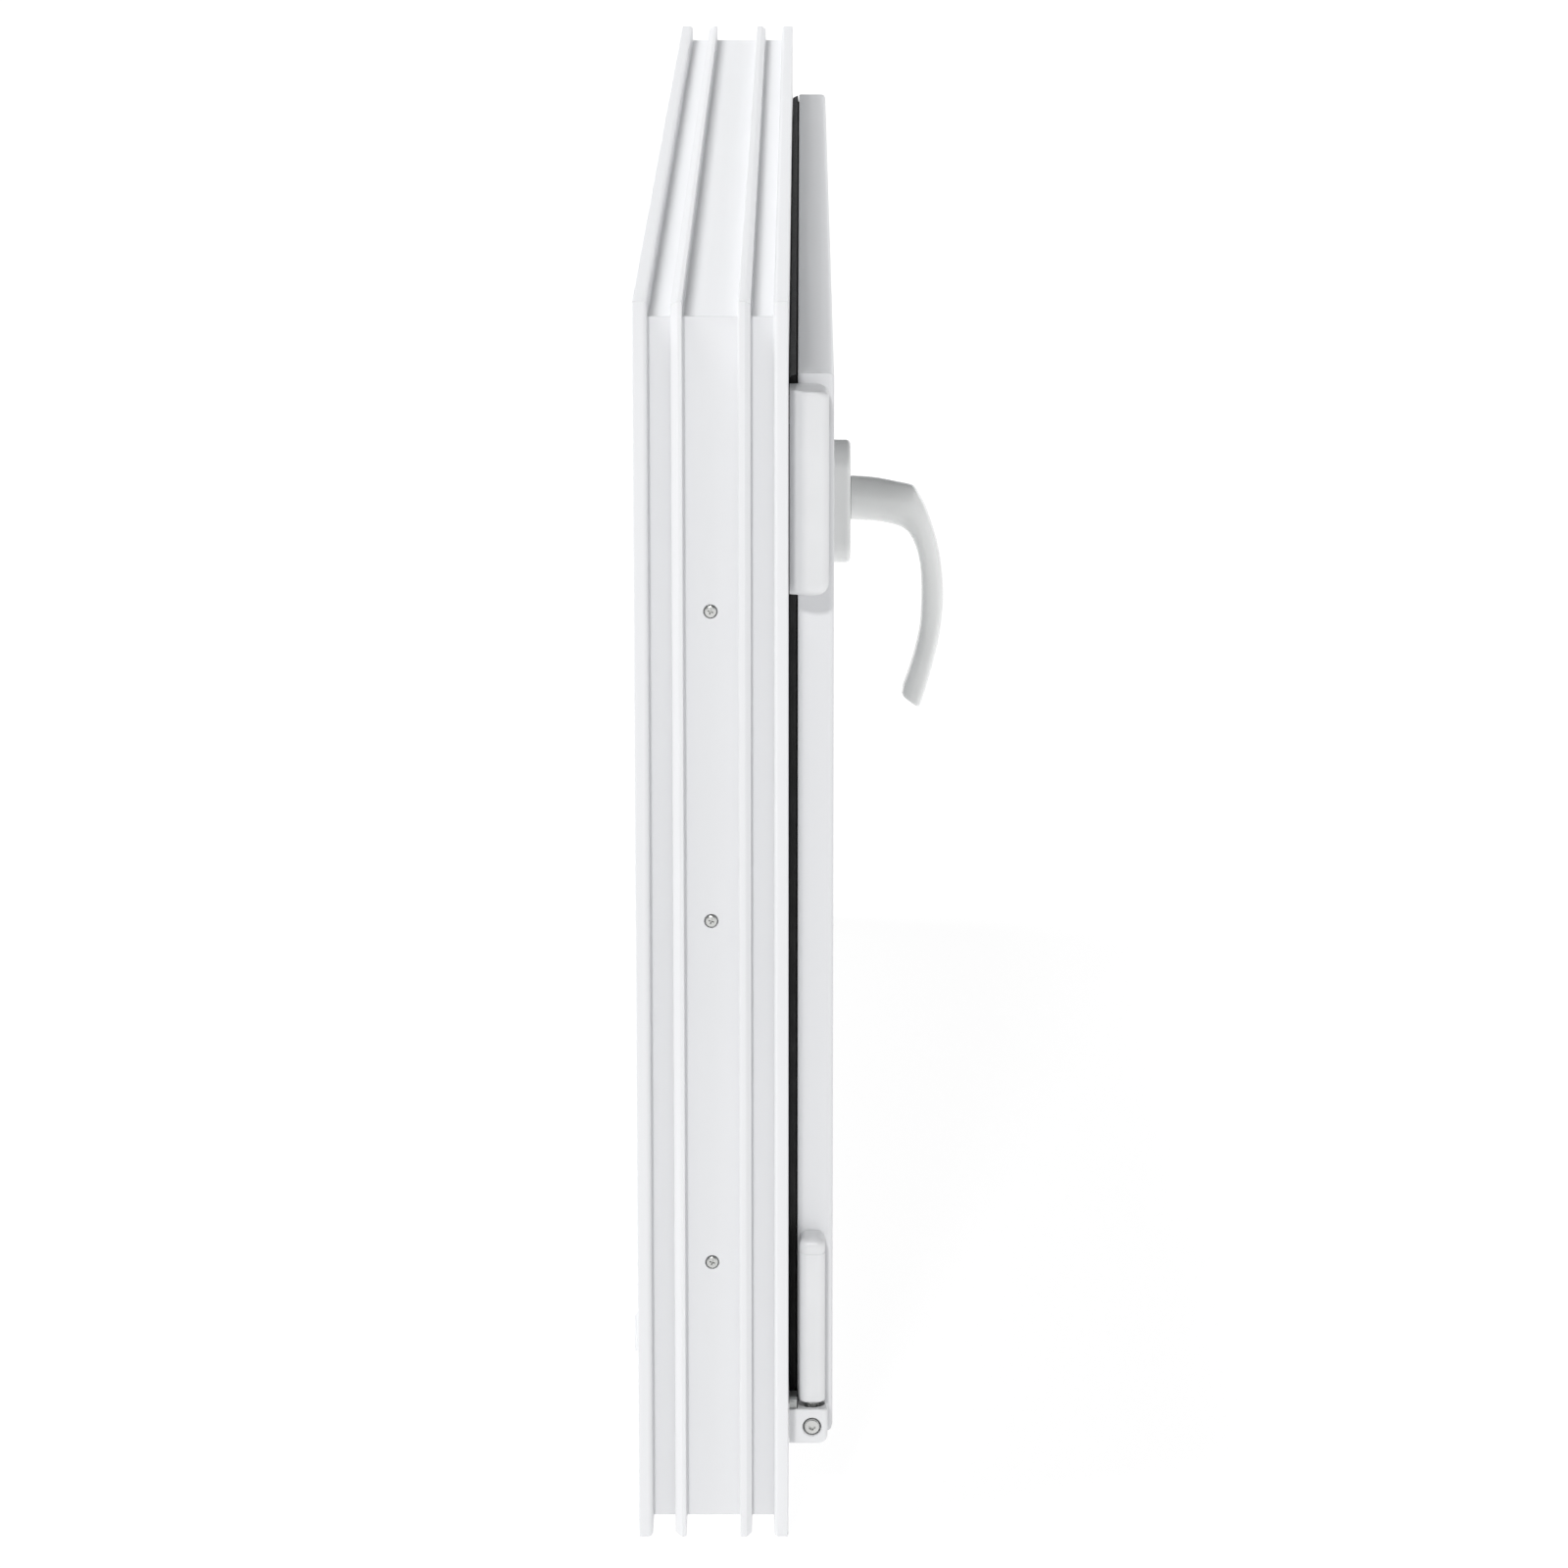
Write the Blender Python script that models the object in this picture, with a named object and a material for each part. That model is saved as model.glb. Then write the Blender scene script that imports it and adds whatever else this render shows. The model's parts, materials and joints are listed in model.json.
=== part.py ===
"""Tilt-and-turn PVC window: outer frame, overlapping sash, double glazing, corner hinge, top hinge with stay arm, espagnolette lock and lever handle.

X runs along the width, Z up from the foot of the sill, Y toward the outside. Lengths below are in millimetres and scaled once, on the way into each mesh. Profiles are written as (inset from the window's outer edge, depth from the outside face).
"""

import math

import bmesh
import bpy
from mathutils import Vector
from mathutils.geometry import tessellate_polygon

for o in list(bpy.data.objects):
    bpy.data.objects.remove(o, do_unlink=True)

MM = 0.001
WIDTH, HEIGHT, DEPTH = 1000.0, 500.0, 60.0
HALF = WIDTH / 2
MITRE_GAP = 0.2  # each side of a welded corner

# Frame profile
RIB = 6.9  # height of the foot ribs
REBATE = 41.3  # inset of the rebate floor
LIP = 63.0  # inset of the exterior stop
LIP_DEPTH = 14.2

# Sash profile
S_LIP = 33.3  # inset of the overlap lip's edge
S_BODY = 53.3
S_GLASS = 92.3  # glazing rebate floor
S_TOP = 110.3  # inset of the exterior glazing lip, and of the bead
S_OUT, S_BACK, S_ROOM = 17.8, 63.6, 77.8

# Glass unit 4-16-4
PANE_INSET = 97.3
PANE_1, PANE_2 = (35.3, 39.3), (55.3, 59.3)

# Hinges: turn axis vertical, tilt axis along X
TURN_X = -HALF + 26.0
AXIS_D = 69.5
TILT_Z = 40.0

# Handle and lock
SPINDLE_X, SPINDLE_Z = HALF - 68.3, 250.0
STROKE = 37.0  # drive rod travel over 180 degrees of handle
CAM_D = 52.6
SIDE_CAMS = (140.0, 340.0)
TOP_CAM = 250.0

WHITE = (0.86, 0.87, 0.88)
BLACK = (0.012, 0.012, 0.013)
STEEL = (0.55, 0.56, 0.57)
ZINC = (0.62, 0.63, 0.62)


def y_of(d):
    return DEPTH - d


# ---------------------------------------------------------------- helpers
def finish(name, bm, colour, rough=0.4, metal=0.0, smooth=False, weld=True):
    if weld:
        bmesh.ops.remove_doubles(bm, verts=bm.verts, dist=1e-4)
    bmesh.ops.recalc_face_normals(bm, faces=bm.faces)
    if bm.calc_volume(signed=True) < 0:
        bmesh.ops.reverse_faces(bm, faces=bm.faces)
    if smooth:
        for f in bm.faces:
            f.smooth = True
        for e in bm.edges:
            if len(e.link_faces) == 2 and e.calc_face_angle(0) > math.radians(32):
                e.smooth = False
    bmesh.ops.scale(bm, vec=(MM, MM, MM), verts=bm.verts)
    me = bpy.data.meshes.new(name)
    bm.to_mesh(me)
    bm.free()
    ob = bpy.data.objects.new(name, me)
    bpy.context.scene.collection.objects.link(ob)
    mat = bpy.data.materials.new(name)
    mat.use_nodes = True
    p = mat.node_tree.nodes["Principled BSDF"]
    p.inputs["Base Color"].default_value = (*colour, 1)
    p.inputs["Roughness"].default_value = rough
    p.inputs["Metallic"].default_value = metal
    me.materials.append(mat)
    return ob


def rounded(points, seg=3):
    """A closed outline; a point with a third number gets a fillet of that radius."""
    out = []
    n = len(points)
    for i, p in enumerate(points):
        here = Vector(p[:2])
        r = p[2] if len(p) > 2 else 0
        if r <= 0:
            out.append((here.x, here.y))
            continue
        a = (Vector(points[i - 1][:2]) - here).normalized()
        b = (Vector(points[(i + 1) % n][:2]) - here).normalized()
        half = a.angle(b) / 2
        cut = r / math.tan(half)
        centre = here + (a + b).normalized() * (r / math.sin(half))
        p0, p1 = here + a * cut - centre, here + b * cut - centre
        t0, t1 = math.atan2(p0.y, p0.x), math.atan2(p1.y, p1.x)
        dt = (t1 - t0 + math.pi) % (2 * math.pi) - math.pi
        k = max(2, seg)
        for j in range(k + 1):
            t = t0 + dt * j / k
            out.append((centre.x + r * math.cos(t), centre.y + r * math.sin(t)))
    return out


def tube(bm, loops, place_a, place_b):
    """Side walls for every loop between two placements, and both end faces with the holes left open."""
    flat = [p for loop in loops for p in loop]
    va = [bm.verts.new(place_a(p)) for p in flat]
    vb = [bm.verts.new(place_b(p)) for p in flat]
    at = 0
    for loop in loops:
        n = len(loop)
        for i in range(n):
            j = (i + 1) % n
            bm.faces.new((va[at + i], va[at + j], vb[at + j], vb[at + i]))
        at += n
    tris = tessellate_polygon([[Vector((p[0], p[1], 0)) for p in loop] for loop in loops])
    for t in tris:
        if len(set(t)) == 3:
            bm.faces.new([va[k] for k in t])
            bm.faces.new([vb[k] for k in reversed(t)])


def member(name, side, loops, colour, rough=0.35, gap=MITRE_GAP, metal=0.0):
    """One mitred length of a profile."""
    def place(p, end):
        h, d = p
        if side in ("sill", "head"):
            return (end * (HALF - h - gap), y_of(d), h if side == "sill" else HEIGHT - h)
        z = h + gap if end < 0 else HEIGHT - h - gap
        return ((-HALF + h) if side == "hinge" else (HALF - h), y_of(d), z)

    bm = bmesh.new()
    tube(bm, loops, lambda p: place(p, -1), lambda p: place(p, 1))
    return finish(name, bm, colour, rough, metal)


def straight(name, side, loops, s0, s1, colour, rough=0.35, metal=0.0):
    """One square-cut length of a profile, from s0 to s1 along its side."""
    def place(p, s):
        h, d = p
        if side in ("sill", "head"):
            return (s, y_of(d), h if side == "sill" else HEIGHT - h)
        return ((-HALF + h) if side == "hinge" else (HALF - h), y_of(d), s)

    bm = bmesh.new()
    tube(bm, loops, lambda p: place(p, s0), lambda p: place(p, s1))
    return finish(name, bm, colour, rough, metal)


def ring(name, profile, colour, rough=0.6):
    """A profile run round the whole rectangle."""
    bm = bmesh.new()
    corners = []
    for sx, sz in ((-1, -1), (1, -1), (1, 1), (-1, 1)):
        corners.append([
            bm.verts.new((sx * (HALF - h), y_of(d), h if sz < 0 else HEIGHT - h))
            for h, d in profile
        ])
    n = len(profile)
    for c in range(4):
        a, b = corners[c], corners[(c + 1) % 4]
        for i in range(n):
            j = (i + 1) % n
            bm.faces.new((a[i], a[j], b[j], b[i]))
    return finish(name, bm, colour, rough)


def prism(name, loops, place, lo, hi, colour, rough=0.4, metal=0.0, smooth=False):
    """Flat outline with holes, pushed from lo to hi; place(p, q, t) gives the position."""
    bm = bmesh.new()
    tube(bm, loops, lambda p: place(p[0], p[1], lo), lambda p: place(p[0], p[1], hi))
    return finish(name, bm, colour, rough, metal, smooth)


def stack(name, loops, colour, rough=0.4, metal=0.0, caps=True, smooth=True):
    """Closed loops of equal length joined in order; capped at both ends, or closed on itself."""
    bm = bmesh.new()
    rows = [[bm.verts.new(p) for p in loop] for loop in loops]
    n = len(rows[0])
    pairs = list(zip(rows, rows[1:]))
    if not caps:
        pairs.append((rows[-1], rows[0]))
    for a, b in pairs:
        for i in range(n):
            j = (i + 1) % n
            bm.faces.new((a[i], a[j], b[j], b[i]))
    if caps:
        bm.faces.new(rows[0][::-1])
        bm.faces.new(rows[-1])
    return finish(name, bm, colour, rough, metal, smooth)


def lathe(name, centre, axis, profile, colour, rough=0.3, metal=1.0, seg=24):
    """Profile of (radius, distance along axis); the ends are capped where the radius isn't zero."""
    bm = bmesh.new()
    rows = []
    cx, cy, cz = centre
    for r, t in profile:
        row = []
        for k in range(seg):
            a = 2 * math.pi * k / seg
            u, v = max(r, 1e-3) * math.cos(a), max(r, 1e-3) * math.sin(a)
            if axis == "X":
                row.append(bm.verts.new((cx + t, cy + u, cz + v)))
            elif axis == "Y":
                row.append(bm.verts.new((cx + u, cy + t, cz + v)))
            else:
                row.append(bm.verts.new((cx + u, cy + v, cz + t)))
        rows.append(row)
    for a, b in zip(rows, rows[1:]):
        for i in range(seg):
            j = (i + 1) % seg
            bm.faces.new((a[i], a[j], b[j], b[i]))
    bm.faces.new(rows[0][::-1])
    bm.faces.new(rows[-1])
    return finish(name, bm, colour, rough, metal, True, weld=False)


def box(name, x, y, z, colour, rough=0.4, metal=0.0):
    return prism(name, [[(x[0], y[0]), (x[1], y[0]), (x[1], y[1]), (x[0], y[1])]],
                 lambda p, q, t: (p, q, t), z[0], z[1], colour, rough, metal)


def circle(cx, cy, r, seg=20, start=0.0):
    return [(cx + r * math.cos(start + 2 * math.pi * k / seg),
             cy + r * math.sin(start + 2 * math.pi * k / seg)) for k in range(seg)]


def boolean(target, tools, operation="DIFFERENCE"):
    for t in tools:
        t.hide_render = True
        t.display_type = "WIRE"
        m = target.modifiers.new(t.name, "BOOLEAN")
        m.operation = operation
        m.solver = "EXACT"
        m.object = t


def origin_at(ob, x, y, z):
    """Puts the object's origin on its joint's axis without moving the shape."""
    at = Vector((x * MM, y * MM, z * MM))
    for v in ob.data.vertices:
        v.co -= at
    ob.location = at


AXIS_Y = y_of(AXIS_D)

# ---------------------------------------------------------------- outer frame
frame_outline = rounded([
    (0, 0, 0.5), (0, 5.75, 1.8), (RIB, 5.75, 0.4), (RIB, 14.8, 0.4),
    (1.5, 14.8), (0, 17.5), (0, 19.15, 0.4), (RIB, 19.15, 0.5), (RIB, 40.75, 0.5),
    (0, 40.75, 0.4), (0, 43.3), (1.4, 45.4), (RIB, 45.4, 0.4),
    (RIB, 54.4, 0.4), (0, 54.4, 1.6), (0, 60, 0.5),
    (REBATE, 60, 1.2), (REBATE, 47, 0), (REBATE + 0.9, 46.2), (REBATE + 0.9, 30), (REBATE, 29.2),
    (REBATE, LIP_DEPTH, 0.6), (58.2, LIP_DEPTH), (58.2, 12.0),
    (60.8, 12.0), (60.8, LIP_DEPTH), (LIP, LIP_DEPTH - 0.4, 1.0), (LIP - 1.6, 0, 1.8),
], 2)
frame_rooms = [
    [(9.7, 2.8), (9.7, 12.0), (38.5, 12.0), (38.5, 9.4), (59.2, 9.4), (58.6, 2.8)],
    [(9.7, 14.8), (9.7, 45.4), (38.5, 45.4), (38.5, 14.8)],
    [(9.7, 48.2), (9.7, 57.2), (38.5, 57.2), (38.5, 48.2)],
]
frame_loops = [frame_outline] + frame_rooms
members = {}
for side, label in (("sill", "frame_sill"), ("head", "frame_head"),
                    ("hinge", "frame_jamb_hinge_side"), ("handle", "frame_jamb_handle_side")):
    members[side] = member(label, side, frame_loops, WHITE)

frame_steel = [[(10.2, 15.3), (10.2, 44.9), (38.0, 44.9), (38.0, 43.1), (12.0, 43.1),
                (12.0, 17.1), (38.0, 17.1), (38.0, 15.3)]]
steels = {}
for side, label, s0, s1 in (
        ("sill", "frame_steel_sill", -HALF + 52, HALF - 52),
        ("head", "frame_steel_head", -HALF + 52, HALF - 52),
        ("hinge", "frame_steel_hinge_side", 52, HEIGHT - 52),
        ("handle", "frame_steel_handle_side", 52, HEIGHT - 52)):
    steels[side] = straight(label, side, frame_steel, s0, s1, STEEL, 0.45, 1.0)

ring("frame_gasket", rounded([
    (58.5, 12.3), (60.5, 12.3), (60.5, 14.5), (62.2, 14.9, 0.3), (60.6, 17.3, 0.7),
    (57.4, 16.4, 0.5), (57.0, 14.6, 0.3), (58.5, 14.5)], 2), BLACK)

# Screws that hold the hinge-side steel, seen in the outer groove
for k, z in enumerate((113.0, 253.3, 377.4)):
    x0 = -HALF
    lathe(f"steel_screw_{k + 1}", (x0, y_of(29.7), z), "X",
          [(1.9, 6.62), (2.4, 6.85), (2.45, 7.3), (1.5, 9.3), (1.5, 20.5), (0.3, 22.5)],
          STEEL, 0.3, 1.0, 20)
    cut = lathe(f"cut_screw_pvc_{k}", (x0, y_of(29.7), z), "X",
                [(2.8, 5.0), (2.8, 11.0)], STEEL, seg=20)
    boolean(members["hinge"], [cut])
    cut = lathe(f"cut_screw_steel_{k}", (x0, y_of(29.7), z), "X",
                [(1.85, 9.0), (1.85, 13.0)], STEEL, seg=16)
    boolean(steels["hinge"], [cut])

# Drain slots of the sill and their wind caps
for k, cx in enumerate((-327.0, 327.0)):
    cut = box(f"cut_drain_{k}", (cx - 14, cx + 14), (y_of(4.0), y_of(-2.0)), (33.0, 38.0), BLACK)
    boolean(members["sill"], [cut])
    cap = rounded([(0.25, 51.0), (0.9, 51.0, 0.3), (6.0, 43.3, 1.6), (6.0, 27.0, 0.6), (4.6, 27.0),
                   (4.6, 42.6), (0.25, 49.2)], 2)
    body = prism(f"drain_cap_{'hinge' if cx < 0 else 'handle'}_side",
                 [rounded([(0.25, 51.0), (0.9, 51.0, 0.3), (6.0, 43.3, 1.8), (6.0, 27.0, 0.5), (0.25, 27.0)], 3)],
                 lambda p, q, t: (t, DEPTH + p, q), cx - 21, cx + 21, WHITE, 0.4)
    inside = prism(f"cut_cap_{k}", [[(-1, 47.4), (0.3, 47.4), (4.6, 42.4), (4.6, 26), (-1, 26)]],
                   lambda p, q, t: (t, DEPTH + p, q), cx - 19.6, cx + 19.6, WHITE)
    boolean(body, [inside])

# Striker plates in the rebate
striker = [[(REBATE + 1.2, 33.0), (REBATE + 2.4, 33.0), (REBATE + 2.4, 57.6), (45.0, 58.0),
            (45.0, 59.4), (REBATE + 0.3, 59.4), (REBATE + 0.3, 47.2), (REBATE + 1.2, 46.4)]]
for k, z in enumerate(SIDE_CAMS):
    straight(f"striker_side_{('lower', 'upper')[k]}", "handle", striker, z - 24, z + 24, ZINC, 0.35, 1.0)
straight("striker_head", "head", striker, TOP_CAM - 24, TOP_CAM + 24, ZINC, 0.35, 1.0)


# ---------------------------------------------------------------- top hinge, frame side
def hinge_section(x0, x1, d0, d1, r_left, r_right, inset=0.0, seg=6, slope=0.0):
    pts = [(x0 + inset, d0), (x0 + inset, d1 - inset, max(r_left - inset, 0.3)),
           (x1 - inset, d1 - inset, max(r_right - inset, 0.3)), (x1 - inset, d0)]
    if slope:
        pts[0:1] = [(x0 + slope + inset * 0.4, d0), (x0 + inset, d0 + slope + 0.2, 3.2 - inset)]
    return [(TURN_X + p[0], p[1]) for p in rounded(pts, seg)]


def hinge_block(name, levels, x0, x1, d0, d1, r_left, r_right, colour, rough, seg=6, slope=0.0):
    return stack(name, [[(p[0], y_of(p[1]), z) for p in hinge_section(x0, x1, d0, d1, r_left, r_right, i, seg, slope)]
                        for z, i in levels], colour, rough)


TOP_HINGE = (381.8, 462.8)
STAY_Z = (447.4, 455.6)
cover = hinge_block("top_hinge_cover", [
    (TOP_HINGE[0], 2.4), (TOP_HINGE[0] + 0.5, 1.1), (TOP_HINGE[0] + 1.4, 0.3), (TOP_HINGE[0] + 2.6, 0),
    (TOP_HINGE[1] - 2.6, 0), (TOP_HINGE[1] - 1.4, 0.3), (TOP_HINGE[1] - 0.5, 1.1), (TOP_HINGE[1], 2.4)],
    -13.0, 6.3, 60.3, 75.7, 4.2, 6.2, WHITE, 0.35, slope=3.5)
inner = prism("cut_cover_inside", [[(TURN_X + p[0], p[1]) for p in rounded(
    [(-8.3, 58.0), (-8.3, 60.6), (-11.5, 64.4, 2.2), (-11.5, 74.3, 2.8), (4.9, 74.3, 4.8), (4.9, 58.0)], 6)]],
              lambda p, q, t: (p, y_of(q), t), TOP_HINGE[0] + 1.6, TOP_HINGE[1] - 1.6, WHITE)
notch = box("cut_cover_notch", (TURN_X - 7.4, TURN_X + 9), (y_of(78), y_of(58)),
            (STAY_Z[0] - 0.5, STAY_Z[1] + 0.5), WHITE)
boolean(cover, [inner, notch])

bearing = prism("top_hinge_bearing", [
    [(TURN_X + x, y_of(AXIS_D) + y) for x, y in
     [(-8.0, 9.0), (-8.0, 6.2), (-3.6, 6.2)]
     + [(4.4 * math.cos(a), 4.4 * math.sin(a)) for a in
        [math.radians(145 + 250 * k / 16) for k in range(17)]]
     + [(4.4, 6.2), (4.4, 9.0)]],
    circle(TURN_X, y_of(AXIS_D), 3.25, 20)],
    lambda p, q, t: (p, q, t), TOP_HINGE[0] + 2.2, STAY_Z[0] - 0.9, ZINC, 0.35, 1.0)

# ---------------------------------------------------------------- corner hinge, frame side
bracket = hinge_block("corner_bracket", [
    (32.8, 2.6), (33.3, 1.3), (34.2, 0.4), (35.4, 0), (46.0, 0), (46.9, 0.35), (47.4, 1.3)],
    -7.8, 6.3, 60.3, 75.8, 2.6, 6.2, WHITE, 0.35)
well = lathe("cut_bracket_well", (TURN_X, AXIS_Y, 0), "Z", [(5.0, 35.2), (5.0, 50.0)], ZINC, seg=24)
bore = lathe("cut_bracket_bore", (TURN_X, AXIS_Y, TILT_Z), "X", [(3.65, -15.0), (3.65, -2.0)], ZINC, seg=24)
pocket = box("cut_bracket_pocket", (TURN_X - 6.7, TURN_X + 4.3), (y_of(63.7), y_of(58)), (34.4, 49), ZINC)
boolean(bracket, [well, bore, pocket])
prism("corner_bracket_plate", [rounded([(-6.3, 34.8), (-6.3, 52.0, 2.0), (3.9, 52.0, 2.0), (3.9, 34.8)], 3)],
      lambda p, q, t: (TURN_X + p, t, q), y_of(63.4), y_of(60.3), ZINC, 0.4, 1.0)
lathe("tilt_pin", (TURN_X, AXIS_Y, TILT_Z), "X",
      [(2.7, -8.1), (3.1, -7.95), (3.3, -7.6), (3.3, -5.4)], ZINC, 0.3, 1.0, 28)

# ---------------------------------------------------------------- carrier: what turns but does not tilt
ball = lathe("pivot_ball", (TURN_X, AXIS_Y, TILT_Z), "Z",
             [(4.4 * math.sin(math.radians(a)), -4.4 * math.cos(math.radians(a)))
              for a in (8, 30, 50, 70, 90, 110, 130, 150, 172)], STEEL, 0.25, 1.0, 20)
origin_at(ball, TURN_X, AXIS_Y, TILT_Z)
pin = lathe("top_hinge_pin", (TURN_X, AXIS_Y, 0), "Z",
            [(2.3, 384.6), (2.9, 385.4), (2.9, 459.8), (2.3, 460.8)], STEEL, 0.25, 1.0, 20)
origin_at(pin, TURN_X, AXIS_Y, 420)

# Stay arm: knuckle round the pin, web through the overlap gap, bar over the sash
arm = prism("stay_arm", [
    [(TURN_X + x, AXIS_Y + y) for x, y in
     [(6.2 * math.cos(a), 6.2 * math.sin(a)) for a in
      [math.radians(98 + 304 * k / 20) for k in range(21)]]
     + [(6.6, 6.4), (20.3, 6.4), (20.3, 33.5), (17.6, 33.5), (17.6, 9.1), (-0.9, 9.1)]]],
    lambda p, q, t: (p, q, t), STAY_Z[0], STAY_Z[1], STEEL, 0.35, 1.0)
bar = prism("join_stay_bar", [rounded([(18.4, 21.5), (297, 21.5, 5.8), (297, 33.2, 5.8), (18.4, 33.2)], 4),
                              circle(289.5, 27.5, 2.6, 16)],
            lambda p, q, t: (TURN_X + p, AXIS_Y + q, t), 450.3, 452.8, STEEL, 0.35, 1.0)
boolean(arm, [bar], "UNION")
boolean(arm, [lathe("cut_stay_eye", (TURN_X, AXIS_Y, 0), "Z", [(3.25, 440.0), (3.25, 460.0)], STEEL, seg=20)])
origin_at(arm, TURN_X, AXIS_Y, 451.5)

# ---------------------------------------------------------------- sash
sash_outline = rounded([
    (S_LIP, S_ROOM, 2.2), (S_LIP, S_BACK, 0.6), (36.5, S_BACK), (36.5, 66.0), (39.5, 66.0), (39.5, S_BACK),
    (S_BODY, S_BACK, 0.6), (S_BODY, 60.6), (56.3, 60.6), (56.3, 58.6), (60.3, 58.6), (60.3, 46.6),
    (56.3, 46.6), (56.3, 44.6), (S_BODY, 44.6), (S_BODY, S_OUT, 2.0), (S_TOP - 2.2, S_OUT, 1.2),
    (S_TOP, 20.5, 1.2), (S_TOP, 31.8, 0.8), (107.6, 31.8), (107.6, 29.8), (105.0, 29.8), (105.0, 31.8),
    (S_GLASS, 31.8), (S_GLASS, 62.0), (89.3, 62.0), (89.3, 65.2), (S_GLASS, 65.2), (S_GLASS, S_ROOM, 0.5),
], 2)
sash_rooms = [
    [(36.1, 68.8), (36.1, 75.0), (89.5, 75.0), (89.5, 68.8)],
    [(63.1, 34.6), (63.1, 65.8), (86.3, 65.8), (86.3, 34.6)],
    [(56.1, 20.6), (56.1, 31.8), (89.5, 31.8), (89.5, 29.0), (102.2, 29.0), (102.2, 27.0), (107.5, 27.0), (107.5, 20.6)],
]
sash_members = {}
for side, label in (("sill", "sash_rail_bottom"), ("head", "sash_rail_top"),
                    ("hinge", "sash_stile_hinge_side"), ("handle", "sash_stile_handle_side")):
    sash_members[side] = member(label, side, [sash_outline] + sash_rooms, WHITE)

sash_steel = [[(85.8, 35.1), (85.8, 65.3), (63.6, 65.3), (63.6, 63.5), (84.0, 63.5),
               (84.0, 36.9), (63.6, 36.9), (63.6, 35.1)]]
sash_steels = {}
for side, label, s0, s1 in (
        ("sill", "sash_steel_bottom", -HALF + 98, HALF - 98),
        ("head", "sash_steel_top", -HALF + 98, HALF - 98),
        ("hinge", "sash_steel_hinge_side", 98, HEIGHT - 98),
        ("handle", "sash_steel_handle_side", 98, HEIGHT - 98)):
    sash_steels[side] = straight(label, side, sash_steel, s0, s1, STEEL, 0.45, 1.0)

gasket = ring("sash_gasket", rounded([
    (36.8, 65.7), (39.2, 65.7), (39.2, 63.3), (41.2, 62.9, 0.3), (39.4, 60.8, 0.8),
    (34.8, 61.2, 0.6), (33.8, 63.2, 0.2), (36.8, 63.3)], 2), BLACK)
relief = box("cut_gasket_stay", (-HALF + 32, -HALF + 46), (y_of(66.5), y_of(59)), (445.6, 457.6), BLACK)
boolean(gasket, [relief])

# Glass unit
def pane(name, d, inset, tint):
    return box(name, (-HALF + inset, HALF - inset), (y_of(d[1]), y_of(d[0])), (inset, HEIGHT - inset), tint, 0.05)


pane("glass_outer", PANE_1, PANE_INSET, (0.75, 0.85, 0.82))
pane("glass_inner", PANE_2, PANE_INSET, (0.75, 0.85, 0.82))
ring("spacer_bar", [(98.0, PANE_1[1] + 0.15), (110.0, PANE_1[1] + 0.15), (110.0, PANE_2[0] - 0.15), (98.0, PANE_2[0] - 0.15)],
     (0.35, 0.36, 0.37), 0.4)
ring("glazing_gasket_outer", rounded([
    (105.3, 30.1), (107.3, 30.1), (107.3, 32.1), (109.4, 32.2, 0.3), (109.0, 35.0, 0.8), (104.6, 35.0, 0.8),
    (104.2, 32.1, 0.3), (105.3, 32.1)], 2), BLACK)
ring("glazing_gasket_inner", rounded([
    (101.5, 59.6, 0.6), (109.3, 59.6, 0.8), (109.8, 62.0, 0.3), (101.5, 62.0)], 2), BLACK)
for k, cx in enumerate((-250.0, 250.0)):
    box(f"setting_block_{k + 1}", (cx - 50, cx + 50), (y_of(60.5), y_of(34.2)), (92.6, 97.0), (0.05, 0.12, 0.3), 0.6)

bead = rounded([
    (92.6, 77.5, 0.4), (92.6, 65.0), (89.7, 64.9), (89.7, 62.6), (93.0, 62.3), (S_TOP, 62.3, 0.5),
    (S_TOP, 66.4, 1.6), (106.5, 74.6, 3.0), (101.0, 77.5, 1.6)], 3)
bead_room = [(95.2, 65.0), (95.2, 75.1), (100.6, 75.1), (104.6, 73.0), (107.6, 66.0), (107.6, 65.0)]
for side, label in (("sill", "glazing_bead_bottom"), ("head", "glazing_bead_top"),
                    ("hinge", "glazing_bead_hinge_side"), ("handle", "glazing_bead_handle_side")):
    member(label, side, [bead, bead_room], WHITE, 0.3)

# ---------------------------------------------------------------- corner hinge, sash side
sleeve = stack("sash_hinge_sleeve", [
    [(TURN_X + p[0], y_of(AXIS_D) - p[1], z) for p in rounded(
        [(-5.2 + i, -5.2 + i, 5.15 - i * 0.99), (6.95, -5.2 + i, 0.3), (6.95, 5.2 - i, 0.3), (-5.2 + i, 5.2 - i, 5.15 - i * 0.99)], 6)]
    for z, i in ((49.0, 0.8), (49.4, 0.3), (49.9, 0.0), (112.5, 0.0), (115.3, 0.6), (117.2, 1.7), (118.3, 3.4))],
    WHITE, 0.35)
hole = lathe("cut_sleeve_bore", (TURN_X, AXIS_Y, 0), "Z", [(3.3, 46.0), (3.3, 112.0)], STEEL, seg=24)
boolean(sleeve, [hole])
lathe("pivot_pin", (TURN_X, AXIS_Y, 0), "Z",
      [(2.6, 44.9), (2.95, 45.4), (2.95, 110.6), (2.4, 111.4)], STEEL, 0.25, 1.0, 20)

# ---------------------------------------------------------------- lock
PLATE_H, ROD_H = (53.6, 56.0), (57.0, 59.9)


def slot(a0, a1, b, r, seg=6):
    """Long hole from a0 to a1 along the first axis."""
    return ([(a0 + r - r * math.sin(math.pi * k / seg), b - r * math.cos(math.pi * k / seg)) for k in range(seg + 1)]
            + [(a1 - r + r * math.sin(math.pi * k / seg), b + r * math.cos(math.pi * k / seg)) for k in range(seg + 1)])


def in_side(p, q, t):
    return (HALF - t, y_of(q), p)


def in_top(p, q, t):
    return (p, y_of(q), HEIGHT - t)


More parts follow.
